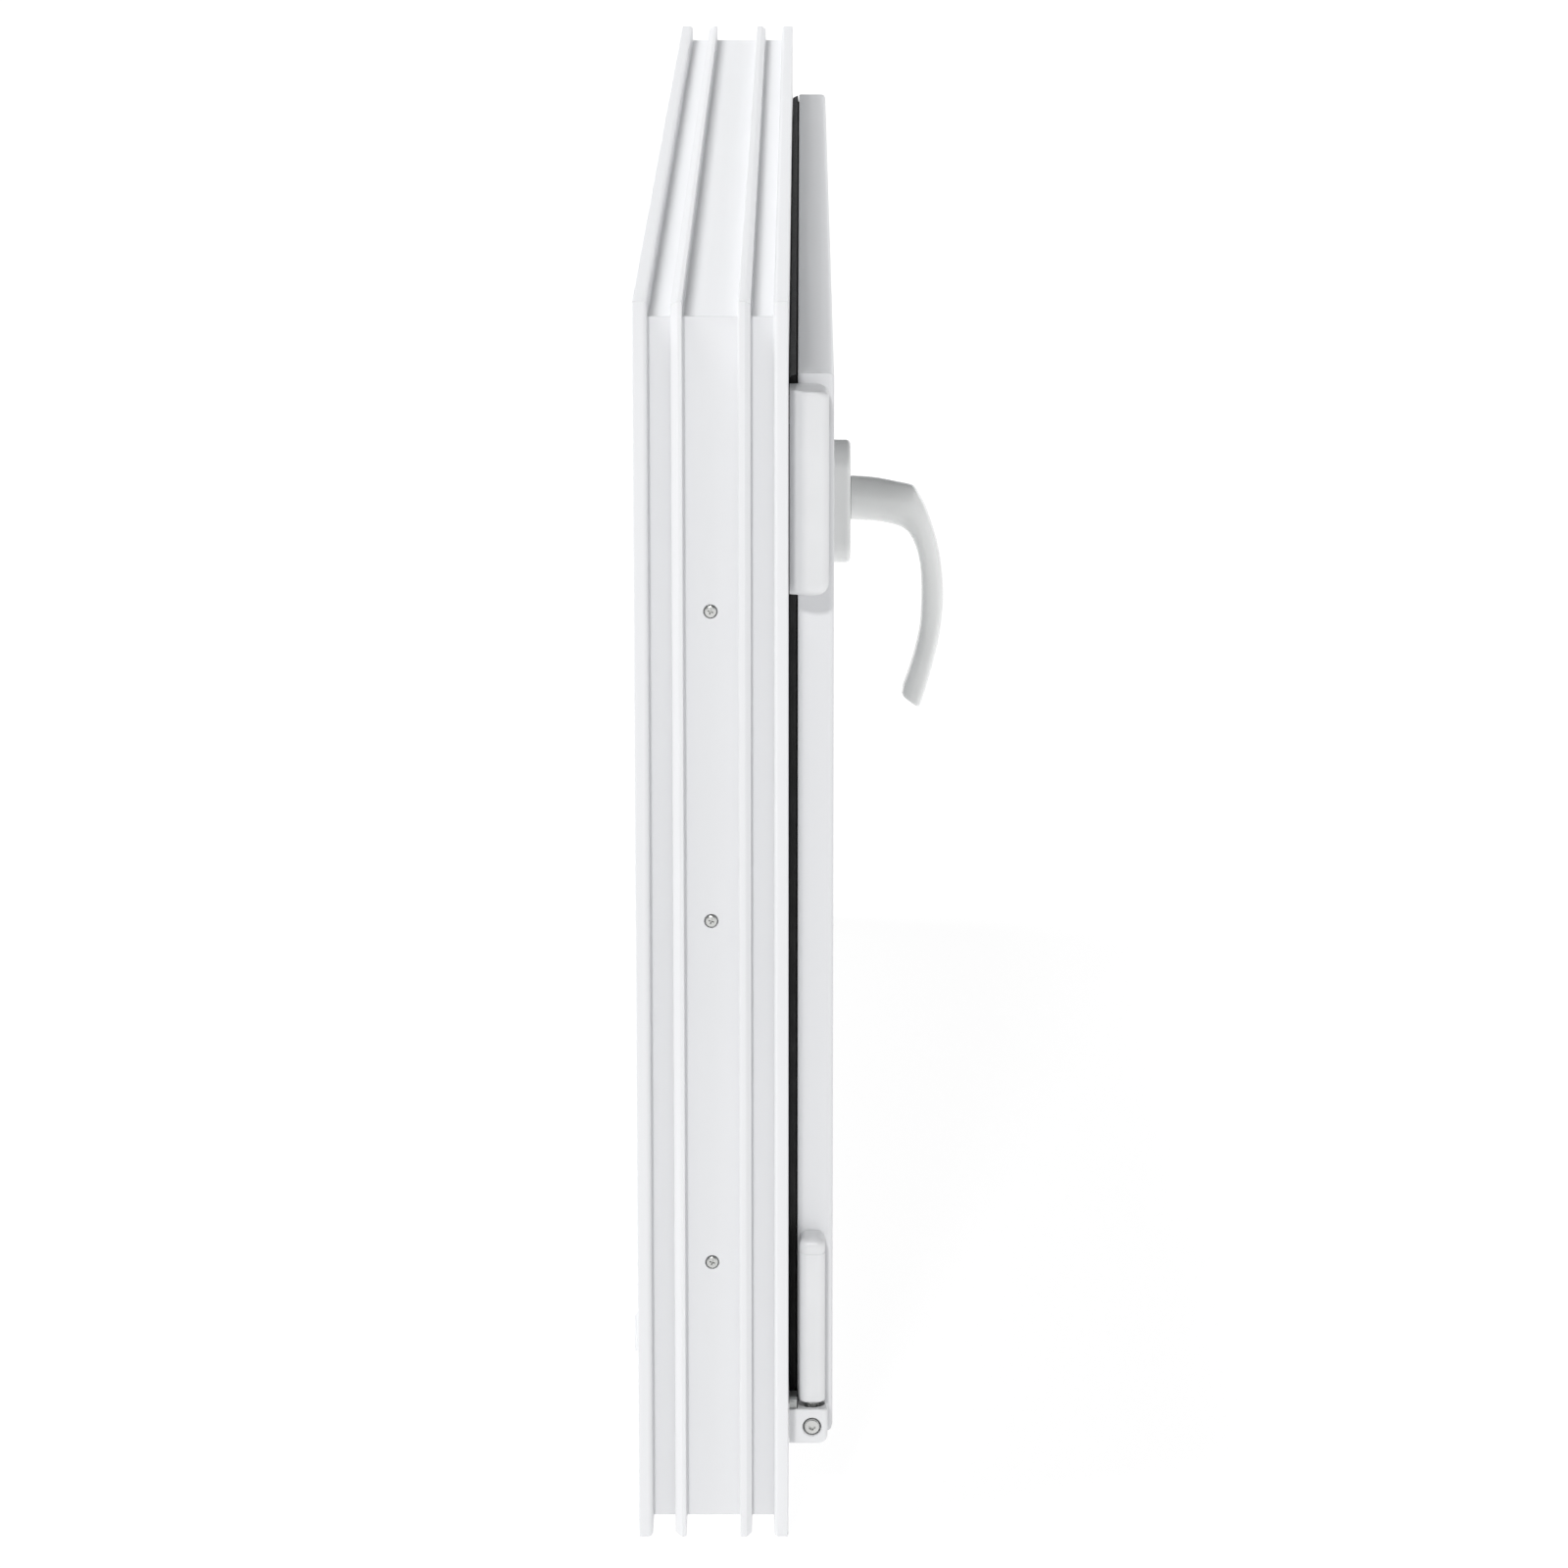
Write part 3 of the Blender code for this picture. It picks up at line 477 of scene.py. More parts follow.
def carve(bm, tools, operation="DIFFERENCE"):
    """bm less (or with) the tools, as a new bmesh in millimetres."""
    target = cutter(bm)
    for t in tools:
        c = cutter(t)
        m = target.modifiers.new("b", "BOOLEAN")
        m.operation, m.solver, m.object = operation, "EXACT", c
    bpy.context.view_layer.update()
    dg = bpy.context.evaluated_depsgraph_get()
    out = bmesh.new()
    out.from_object(target, dg)
    for m in list(target.modifiers):
        bpy.data.objects.remove(m.object, do_unlink=True)
    bpy.data.objects.remove(target, do_unlink=True)
    bmesh.ops.scale(out, vec=(1 / MM, 1 / MM, 1 / MM), verts=out.verts)
    bmesh.ops.remove_doubles(out, verts=out.verts, dist=1e-4)
    return out


def circle(cx, cy, r, seg=40, start=0.0):
    return [(cx + r * math.cos(start + 2 * math.pi * k / seg), cy + r * math.sin(start + 2 * math.pi * k / seg)) for k in range(seg)]


def slot_loop(a0, a1, b, r, seg=10):
    return ([(a0 + r - r * math.sin(math.pi * k / seg), b - r * math.cos(math.pi * k / seg)) for k in range(seg + 1)]
            + [(a1 - r + r * math.sin(math.pi * k / seg), b + r * math.cos(math.pi * k / seg)) for k in range(seg + 1)])


def strip(a0, a1, d0, d1, r=0.8):
    return rounded([(a0, d0, r), (a1, d0, r), (a1, d1, r), (a0, d1, r)], 4)


def bevel(ob, width=0.3, seg=2, angle=35):
    m = ob.modifiers.new("bevel", "BEVEL")
    m.width, m.segments, m.limit_method, m.angle_limit = width * MM, seg, "ANGLE", math.radians(angle)
    m.harden_normals = False
    return m


def dress(node, material, bevel_mm=0.0, smooth_angle=32):
    """Keeps a CAD node, with a finished material and softened edges."""
    ob = NODES[node]
    ob.data.materials.clear()
    ob.data.materials.append(material)
    if bevel_mm:
        bevel(ob, bevel_mm)
    return ob


# ================================================================ profiles
RIB, REBATE, LIP, LIP_DEPTH = 6.9, 41.3, 63.0, 14.2
frame_outline = rounded([
    (0, 0, 0.5), (0, 5.75, 1.9), (RIB, 5.75, 0.5), (RIB, 14.8, 0.5),
    (1.5, 14.8, 0.3), (0, 17.5, 0.4), (0, 19.15, 0.45), (RIB, 19.15, 0.6), (RIB, 40.75, 0.6),
    (0, 40.75, 0.45), (0, 43.3, 0.4), (1.4, 45.4, 0.3), (RIB, 45.4, 0.5),
    (RIB, 54.4, 0.5), (0, 54.4, 1.6), (0, 60, 0.5),
    (REBATE, 60, 1.2), (REBATE, 47, 0.2), (REBATE + 0.9, 46.2, 0.2), (REBATE + 0.9, 30, 0.2), (REBATE, 29.2, 0.2),
    (REBATE, LIP_DEPTH, 0.6), (58.2, LIP_DEPTH, 0.2), (58.2, 12.0),
    (60.8, 12.0), (60.8, LIP_DEPTH, 0.2), (LIP, LIP_DEPTH - 0.4, 1.0), (LIP - 1.6, 0, 1.8),
], 5)
frame_rooms = [
    rounded([(9.7, 2.8, 0.6), (9.7, 12.0, 0.6), (38.5, 12.0, 0.6), (38.5, 9.4, 0.4), (59.2, 9.4, 0.6), (58.6, 2.8, 0.6)], 2),
    rounded([(9.7, 14.8, 0.6), (9.7, 45.4, 0.6), (38.5, 45.4, 0.6), (38.5, 14.8, 0.6)], 2),
    rounded([(9.7, 48.2, 0.6), (9.7, 57.2, 0.6), (38.5, 57.2, 0.6), (38.5, 48.2, 0.6)], 2),
]
S_LIP, S_BODY, S_GLASS, S_TOP, S_OUT, S_BACK = 33.3, 53.3, 92.3, 110.3, 17.8, 63.6
sash_outline = rounded([
    (S_LIP, S_ROOM, 2.2), (S_LIP, S_BACK, 0.6), (36.5, S_BACK, 0.2), (36.5, 66.0), (39.5, 66.0), (39.5, S_BACK, 0.2),
    (S_BODY, S_BACK, 0.6), (S_BODY, 60.6, 0.2), (56.3, 60.6), (56.3, 58.6), (60.3, 58.6), (60.3, 46.6),
    (56.3, 46.6), (56.3, 44.6), (S_BODY, 44.6, 0.2), (S_BODY, S_OUT, 2.0), (S_TOP - 2.2, S_OUT, 1.2),
    (S_TOP, 20.5, 1.2), (S_TOP, 31.8, 0.8), (107.6, 31.8, 0.2), (107.6, 29.8), (105.0, 29.8), (105.0, 31.8, 0.2),
    (S_GLASS, 31.8, 0.3), (S_GLASS, 62.0, 0.2), (89.3, 62.0), (89.3, 65.2), (S_GLASS, 65.2, 0.2), (S_GLASS, S_ROOM, 0.5),
], 5)
sash_rooms = [
    rounded([(36.1, 68.8, 0.6), (36.1, 75.0, 0.6), (89.5, 75.0, 0.6), (89.5, 68.8, 0.6)], 2),
    rounded([(63.1, 34.6, 0.6), (63.1, 65.8, 0.6), (86.3, 65.8, 0.6), (86.3, 34.6, 0.6)], 2),
    [(56.1, 20.6), (56.1, 31.8), (89.5, 31.8), (89.5, 29.0), (102.2, 29.0), (102.2, 27.0), (107.5, 27.0), (107.5, 20.6)],
]
bead = rounded([
    (92.6, 77.5, 0.5), (92.6, 65.0), (89.7, 64.9), (89.7, 62.6), (93.0, 62.3), (S_TOP, 62.3, 0.5),
    (S_TOP, 66.4, 1.8), (106.5, 74.6, 3.4), (101.0, 77.5, 1.8)], 7)
bead_room = [(95.2, 65.0), (95.2, 75.1), (100.6, 75.1), (104.6, 73.0), (107.6, 66.0), (107.6, 65.0)]

FRAME_NODE = {"sill": "frame_sill", "head": "frame_head", "hinge": "frame_jamb_hinge_side", "handle": "frame_jamb_handle_side"}
SASH_NODE = {"sill": "sash_rail_bottom", "head": "sash_rail_top", "hinge": "sash_stile_hinge_side", "handle": "sash_stile_handle_side"}
BEAD_NODE = {"sill": "glazing_bead_bottom", "head": "glazing_bead_top", "hinge": "glazing_bead_hinge_side", "handle": "glazing_bead_handle_side"}
SCREW_Z = (113.0, 253.3, 377.4)
SCREW_D = 29.7

# ---------------------------------------------------------------- outer frame
for side in SIDES:
    bm = member_bmesh(side, [frame_outline] + frame_rooms, 0.06, (0.0, 60.0, 0.28))
    if side == "hinge":
        bm = carve(bm, [lathe_bmesh((-HALF, y_of(SCREW_D), z), "X", [(2.95, 6.0), (2.95, 6.95), (2.75, 7.2), (2.75, 11.0)], 40) for z in SCREW_Z])
    if side == "sill":
        tools = []
        for cx in (-327.0, 327.0):
            tools.append(prism_bmesh([slot_loop(cx - 14, cx + 14, 35.5, 2.5)], lambda p, q, t: (p, t, q), (y_of(4.0), y_of(-2.0))))
        for cx in (-360.0, -40.0, 280.0):  # rebate drain slots, seen when the sash is open
            tools.append(prism_bmesh([slot_loop(cx - 13, cx + 13, 22.0, 2.5)], lambda p, q, t: (p, y_of(q), t), (37.0, 44.5)))
        bm = carve(bm, tools)
    publish(FRAME_NODE[side] + "_profile", bm, PVC_X if side in ("sill", "head") else PVC_Z, "frame",
            (FRAME_NODE[side],))

publish("frame_gasket_strip", ring_bmesh(rounded([
    (58.5, 12.3, 0.2), (60.5, 12.3, 0.2), (60.5, 14.5, 0.1), (62.2, 14.9, 0.4), (60.6, 17.3, 0.8),
    (57.4, 16.4, 0.7), (57.0, 14.6, 0.3), (58.5, 14.5, 0.1)], 5)), EPDM, "frame", ("frame_gasket",))

# ---------------------------------------------------------------- sash
for side in SIDES:
    bm = member_bmesh(side, [sash_outline] + sash_rooms, 0.06, (17.8, 77.8, 0.28))
    if side == "handle":
        bm = carve(bm, [
            box_bmesh((HALF - 64.0, HALF - 59.4), (y_of(58.45), y_of(46.75)), (214.8, 285.2)),
            lathe_bmesh((SPINDLE_X, 0, SPINDLE_Z), "Y", [(6.4, y_of(80)), (6.4, y_of(60))], 40)])
    publish(SASH_NODE[side] + "_profile", bm, PVC_X if side in ("sill", "head") else PVC_Z, "sash",
            (SASH_NODE[side],))

g = ring_bmesh(rounded([
    (36.8, 65.7, 0.2), (39.2, 65.7, 0.2), (39.2, 63.3, 0.1), (41.2, 62.6, 0.4), (39.6, 60.12, 0.9),
    (35.0, 60.16, 0.9), (33.8, 62.9, 0.25), (36.8, 63.3, 0.1)], 5))
for cut in (42.0, 44.0):  # the lip runs shallower round the tilt axis, where it swings past the frame
    bmesh.ops.bisect_plane(g, geom=g.verts[:] + g.edges[:] + g.faces[:], dist=1e-5, plane_co=(0, 0, cut), plane_no=(0, 0, 1))
for v in g.verts:
    if v.co.z < 42.5:
        v.co.y = min(v.co.y, y_of(61.15))
g = carve(g, [box_bmesh((-HALF + 32, -HALF + 46), (y_of(66.5), y_of(59)), (445.6, 457.6))])
publish("sash_gasket_strip", g, EPDM, "sash", ("sash_gasket",))

for side in SIDES:
    publish(BEAD_NODE[side] + "_profile", member_bmesh(side, [bead, bead_room], 0.12),
            BEAD_X if side in ("sill", "head") else BEAD_Z, "sash", (BEAD_NODE[side],))
publish("glazing_seal_outer", ring_bmesh(rounded([
    (105.3, 30.1, 0.2), (107.3, 30.1, 0.2), (107.3, 32.1, 0.1), (109.6, 32.2, 0.4), (109.2, 35.1, 0.9), (104.6, 35.1, 0.9),
    (104.2, 32.1, 0.3), (105.3, 32.1, 0.1)], 5)), EPDM_GREY, "sash", ("glazing_gasket_outer",))
publish("glazing_seal_inner", ring_bmesh(rounded([
    (101.5, 59.5, 0.7), (109.6, 59.5, 0.9), (109.9, 62.1, 0.3), (101.5, 62.1, 0.2)], 5)), EPDM_GREY, "sash", ("glazing_gasket_inner",))

dress("glass_outer", GLASS, 0.5)
dress("glass_inner", GLASS, 0.5)
dress("spacer_bar", SPACER, 0.25)
dress("setting_block_1", BLOCK, 0.5)
dress("setting_block_2", BLOCK, 0.5)
for n in ("frame_steel_sill", "frame_steel_head", "frame_steel_hinge_side", "frame_steel_handle_side",
          "sash_steel_bottom", "sash_steel_top", "sash_steel_hinge_side", "sash_steel_handle_side"):
    dress(n, GALV, 0.35)


# ---------------------------------------------------------------- screws in the outer groove
def cross_screw(name, centre, axis, profile, recess, material, body, replaces=(), seg=40):
    """Turned screw whose head carries a cross recess; recess=(arm length, arm width, depth, top position, sign)"""
    arm_l, arm_w, depth, top, sign = recess
    bm = lathe_bmesh(centre, axis, profile, seg)
    tools = []
    for k in range(2):
        ang = math.radians(18 + 90 * k)
        u, v = math.cos(ang) * arm_l, math.sin(ang) * arm_l
        nx, ny = -math.sin(ang) * arm_w / 2, math.cos(ang) * arm_w / 2
        loop = [(-u - nx, -v - ny), (u - nx, v - ny), (u + nx, v + ny), (-u + nx, -v + ny)]
        cx, cy, cz = centre

        def place(p, t):
            w = 0.55 if t else 1.0  # tapers to the bottom
            off = top + sign * (depth if t else -0.4)
            a, b = p[0] * w, p[1] * w
            return {"X": (cx + off, cy + a, cz + b), "Y": (cx + a, cy + off, cz + b), "Z": (cx + a, cy + b, cz + off)}[axis]
        t = bmesh.new()
        tube(t, [loop], [lambda p, k=k2: place(p, k) for k2 in (0, 1)])
        tools.append(t)
    bm = carve(bm, tools)
    return publish(name, bm, material, body, replaces, sharp=28)


for k, z in enumerate(SCREW_Z):
    cross_screw(f"steel_screw_{k + 1}_head", (-HALF, y_of(SCREW_D), z), "X",
                [(0.02, 6.66), (1.55, 6.62), (2.05, 6.72), (2.35, 6.95), (2.42, 7.3), (1.5, 9.3), (1.5, 20.5), (0.3, 22.4)],
                (1.25, 0.55, 1.1, 6.64, 1), BRIGHT, "frame", (f"steel_screw_{k + 1}",))

# ---------------------------------------------------------------- drain caps
for tag, cx, node in (("hinge", -327.0, "drain_cap_hinge_side"), ("handle", 327.0, "drain_cap_handle_side")):
    outline = rounded([(0.3, 51.0, 0.15), (0.95, 51.0, 0.3), (6.0, 43.3, 2.4), (6.0, 27.0, 0.6), (0.3, 27.0, 0.1)], 6)
    levels = []
    for t, k in ((-21.0, 0.86), (-20.6, 0.95), (-19.9, 1.0), (19.9, 1.0), (20.6, 0.95), (21.0, 0.86)):
        levels.append([(cx + t, DEPTH + 0.3 + (p - 0.3) * k, 39.0 + (q - 39.0) * (1 - (1 - k) * 0.35)) for p, q in outline])
    bm = stack_bmesh(levels)
    bm = carve(bm, [prism_bmesh([[(-1, 47.4), (0.5, 47.4), (4.7, 42.4), (4.7, 25), (-1, 25)]],
                                lambda p, q, t: (t, DEPTH + p, q), (cx - 19.4, cx + 19.4))])
    publish(f"drain_cap_{tag}", bm, CAP, "frame", (node,), sharp=38)

# ---------------------------------------------------------------- strikers, rods, plates: CAD shapes with finished edges
dress("striker_side_lower", CAST, 0.35)
dress("striker_side_upper", CAST, 0.35)
dress("striker_head", CAST, 0.35)
dress("drive_rod_side", ZINC_Z, 0.3)
dress("drive_rod_top", ZINC_X, 0.3)
dress("corner_drive", ZINC_Z, 0.3)
dress("gearbox", CAST, 0.4)
dress("spindle", BRIGHT, 0.35)
dress("rosette_base", CAST, 0.4)
dress("top_hinge_bearing", CAST, 0.3)
dress("pivot_pin", BRIGHT)
dress("pivot_ball", BRIGHT)

PLATE_H = (53.6, 56.0)


def in_side(p, q, t):
    return (HALF - t, y_of(q), p)


def in_top(p, q, t):
    return (p, y_of(q), HEIGHT - t)


def plate(name, node, place, outline, slots, screws, material):
    """Faceplate with long holes and countersunk screw seats; its screws sit in the seats."""
    bm = prism_bmesh([outline] + slots, place, PLATE_H)
    tools = []
    for a, b in screws:
        rows = [(3.6, 53.2), (3.45, 53.8), (2.0, 55.2), (2.0, 57.0)]
        loops = []
        for r, t in rows:
            loops.append([place(a + r * math.cos(2 * math.pi * k / 32), b + r * math.sin(2 * math.pi * k / 32), t) for k in range(32)])
        tools.append(stack_bmesh(loops))
    bm = carve(bm, tools)
    ob = publish(name, bm, material, "sash", (node,), sharp=30, weighted=False)
    bevel(ob, 0.2, 2)
    for i, (a, b) in enumerate(screws):
        rows = [(0.02, 54.0), (1.8, 53.95), (2.9, 53.98), (3.3, 54.05), (1.85, 55.4), (1.85, 55.9)]
        loops = [[place(a + r * math.cos(2 * math.pi * k / 32), b + r * math.sin(2 * math.pi * k / 32), t) for k in range(32)] for r, t in rows]
        s = stack_bmesh(loops)
        cuts = []
        for j in range(2):
            ang = math.radians(35 + 90 * j + 20 * i)
            u, v = math.cos(ang), math.sin(ang)
            loop = [(a + u * x - v * y, b + v * x + u * y) for x, y in ((-1.7, -0.35), (1.7, -0.35), (1.7, 0.35), (-1.7, 0.35))]
            cuts.append(prism_bmesh([loop], place, (53.4, 54.9)))
        s = carve(s, cuts)
        publish(f"{name}_screw_{i + 1}", s, BRIGHT, "sash", (), sharp=28)
    return ob


plate("faceplate_side_rail", "faceplate_side", in_side, strip(110, 388.4, 44.9, 60.3, 1.0),
      [slot_loop(c - 4.2, c + 37 + 4.2, 52.6, 3.9) for c in (140.0, 340.0)],
      [(118.5, 52.6), (205.0, 52.6), (295.0, 52.6)], ZINC_Z)
plate("faceplate_top_rail", "faceplate_top", in_top, strip(-60, 388.4, 44.9, 60.3, 1.0),
      [slot_loop(250 - 37 - 4.2, 254.2, 52.6, 3.9)], [(-50.0, 52.6), (110.0, 52.6), (320.0, 52.6)], ZINC_X)
plate("stay_guide_plate", "stay_guide_rail", in_top, strip(-440, -62, 44.9, 60.3, 1.0),
      [slot_loop(-240, -150, 52.6, 3.0)], [(-425.0, 52.6), (-300.0, 52.6), (-80.0, 52.6)], ZINC_X)


# ---------------------------------------------------------------- top hinge
TOP_HINGE = (381.8, 462.8)
STAY_Z = (447.4, 455.6)


def run_out(z, sign, rx, rd, n=8):
    """Rounded end of a cover: rows of (z, inset of the outer face, inset of the room side), from the tip inwards."""
    r = max(rx, rd)
    rows = []
    for k in range(n):
        a = math.pi / 2 * k / (n - 1)
        t = r * (1 - math.cos(a))  # distance in from the tip

        def inset(q):
            return q - math.sqrt(max(0.0, q * q - (q - t) ** 2)) if t < q else 0.0
        rows.append((z + sign * t, inset(rx), inset(rd)))
    return rows


def cover_loop(z, ix, idp):
    pts = [(-8.5 + ix * 0.5, 60.35), (-13.0 + ix, 65.9 + ix * 0.2, 4.6), (-13.0 + ix, 75.7 - idp, max(0.7, 3.7 - 0.4 * ix)),
           (6.3, 75.7 - idp, max(1.0, 6.1 - idp)), (6.3, 60.35)]
    return [(TURN_X + p[0], y_of(p[1]), z) for p in rounded(pts, 9)]


rows = run_out(TOP_HINGE[0], 1, 4.4, 5.2) + run_out(TOP_HINGE[1], -1, 1.3, 3.0)[::-1]
bm = stack_bmesh([cover_loop(z, i, j) for z, i, j in rows])
inside = prism_bmesh([[(TURN_X + p[0], p[1]) for p in rounded(
    [(-7.1, 58.0), (-7.1, 60.9), (-11.5, 66.4, 2.6), (-11.5, 74.3, 2.8), (4.9, 74.3, 4.8), (4.9, 58.0)], 8)]],
    lambda p, q, t: (p, y_of(q), t), (TOP_HINGE[0] + 3.4, TOP_HINGE[1] - 1.6))
notch = box_bmesh((TURN_X - 7.4, TURN_X + 9), (y_of(78), y_of(58)), (STAY_Z[0] - 0.35, STAY_Z[1] + 0.35))
bm = carve(bm, [inside, notch])
publish("top_hinge_cap", bm, COVER, "frame", ("top_hinge_cover",), sharp=40)

arm_outline = [(TURN_X + x, AXIS_Y + y) for x, y in
               [(6.2 * math.cos(a), 6.2 * math.sin(a)) for a in [math.radians(98 + 304 * k / 44) for k in range(45)]]
               + [(6.6, 6.4), (20.3, 6.4), (20.3, 33.5), (17.6, 33.5), (17.6, 9.1), (-0.9, 9.1)]]
bm = prism_bmesh([arm_outline], lambda p, q, t: (p, q, t), STAY_Z)
bar = prism_bmesh([rounded([(18.4, 21.5), (297, 21.5, 5.8), (297, 33.2, 5.8), (18.4, 33.2)], 8)],
                  lambda p, q, t: (TURN_X + p, AXIS_Y + q, t), (450.3, 452.8))
bm = carve(bm, [bar], "UNION")
bm = carve(bm, [lathe_bmesh((TURN_X, AXIS_Y, 0), "Z", [(3.25, 440.0), (3.25, 460.0)], 40),
                lathe_bmesh((TURN_X + 289.5, AXIS_Y + 27.5, 0), "Z", [(2.6, 440.0), (2.6, 460.0)], 32),
                prism_bmesh([slot_loop(60, 110, 27.4, 2.4)], lambda p, q, t: (TURN_X + p, AXIS_Y + q, t), (449.5, 453.5)),
                prism_bmesh([slot_loop(170, 235, 27.4, 2.4)], lambda p, q, t: (TURN_X + p, AXIS_Y + q, t), (449.5, 453.5))])
arm = publish("stay_arm_link", bm, ZINC_X, "stay", ("stay_arm",), weighted=False)
bevel(arm, 0.25, 2)
bm = lathe_bmesh((TURN_X, AXIS_Y, 0), "Z", [(0.02, 384.5), (2.0, 384.6), (2.7, 385.0), (2.9, 385.6), (2.9, 458.4), (2.6, 459.0), (2.9, 459.4), (2.9, 460.0), (2.4, 460.6), (0.02, 460.75)], 40)
publish("top_hinge_pin_rod", bm, BRIGHT, "turn_carrier", ("top_hinge_pin",))

# ---------------------------------------------------------------- corner hinge
def bracket_loop(z, ix, idp):
    pts = [(-7.8 + ix, 60.35, 0.0), (-7.8 + ix, 75.8 - idp, max(0.6, 2.2 - 0.4 * ix)), (6.3, 75.8 - idp, max(1.0, 6.1 - idp)), (6.3, 60.35)]
    return [(TURN_X + p[0], y_of(p[1]), z) for p in rounded(pts, 9)]


rows = run_out(32.8, 1, 1.4, 3.2) + run_out(47.4, -1, 0.6, 0.9)[::-1]
bm = stack_bmesh([bracket_loop(z, i, j) for z, i, j in rows])
bm = carve(bm, [lathe_bmesh((TURN_X, AXIS_Y, 0), "Z", [(5.0, 35.2), (5.0, 46.8), (5.3, 47.5), (5.3, 50.0)], 48),
                lathe_bmesh((TURN_X, AXIS_Y, TILT_Z), "X", [(4.1, -15.0), (4.1, -7.7), (3.68, -7.3), (3.68, -2.0)], 48),
                box_bmesh((TURN_X - 6.7, TURN_X + 4.3), (y_of(63.7), y_of(58)), (34.4, 49))])
publish("corner_bracket_cap", bm, COVER, "frame", ("corner_bracket",), sharp=40)
dress("corner_bracket_plate", CAST, 0.4)
bm = lathe_bmesh((TURN_X, AXIS_Y, TILT_Z), "X", [(0.02, -8.0), (2.35, -8.02), (2.75, -7.94), (3.2, -7.45), (3.32, -7.0), (3.32, -5.6), (3.0, -5.45)], 48)
hexa = prism_bmesh([circle(0, 0, 1.55, 6, 0.26)], lambda p, q, t: (TURN_X + t, AXIS_Y + p, TILT_Z + q), (-9.0, -6.6))
bm = carve(bm, [hexa])
publish("tilt_pin_end", bm, BRIGHT, "frame", ("tilt_pin",))


def end_levels(z, r, sign, n=7):
    """Quarter-round run-out: (position, inset) pairs from the tip inwards."""
    return [(z + sign * r * (1 - math.cos(math.pi / 2 * k / (n - 1))), r * (1 - math.sin(math.pi / 2 * k / (n - 1)))) for k in range(n)]


def sleeve_points(i):
    r = max(0.8, 3.4 - i * 0.5)
    return [(-5.2 + i, -5.2 + i, r), (6.95, -5.2 + i, 0.3), (6.95, 5.2 - i, 0.3), (-5.2 + i, 5.2 - i, r)]


def sleeve_loop(z, i):
    return [(TURN_X + p[0], AXIS_Y - p[1], z) for p in rounded(sleeve_points(i), 9)]


low = end_levels(49.0, 1.4, 1)
top = [(111.6, 0.0), (111.75, 0.22), (112.05, 0.22), (112.2, 0.0), (114.4, 0.0)] + end_levels(118.3, 3.6, -1)[::-1]
bm = stack_bmesh([sleeve_loop(z, i) for z, i in low + top])
bm = carve(bm, [lathe_bmesh((TURN_X, AXIS_Y, 0), "Z", [(3.3, 46.0), (3.3, 111.9)], 40)])
publish("sash_hinge_sleeve_cap", bm, COVER, "sash", ("sash_hinge_sleeve",), sharp=40)

# ---------------------------------------------------------------- handle
ROSE_R, ROSE_HALF, ROSE_T = 14.0, 33.65, 13.8


def obround(inset, y, n=96, r=None):
    rr = (ROSE_R - inset) if r is None else r
    run = (ROSE_HALF - ROSE_R) if r is None else 0.0
    pts = []
    for k in range(n):
        a = 2 * math.pi * (k + 0.5) / n
        s = run if math.sin(a) > 0 else -run
        pts.append((SPINDLE_X + rr * math.cos(a), y, SPINDLE_Z + s + rr * math.sin(a)))
    return pts


rose = [obround(1.9, FACE_Y - 0.3), obround(0.15, FACE_Y - 0.3), obround(0.0, FACE_Y - 0.5), obround(0.0, FACE_Y - 10.6)]
for k in range(1, 9):
    a = math.pi / 2 * k / 8
    rose.append(obround(2.7 * (1 - math.cos(a)), FACE_Y - 11.1 - 2.7 * math.sin(a)))
rose += [obround(5.0, FACE_Y - ROSE_T), obround(0, FACE_Y - ROSE_T, r=8.6), obround(0, FACE_Y - ROSE_T + 0.35, r=7.7),
         obround(0, FACE_Y - 11.6, r=7.6), obround(3.0, FACE_Y - 11.6), obround(1.9, FACE_Y - 10.6)]
publish("rosette_cap", stack_bmesh(rose, caps=False), LACQUER, "sash", ("rosette_cover",), sharp=34)

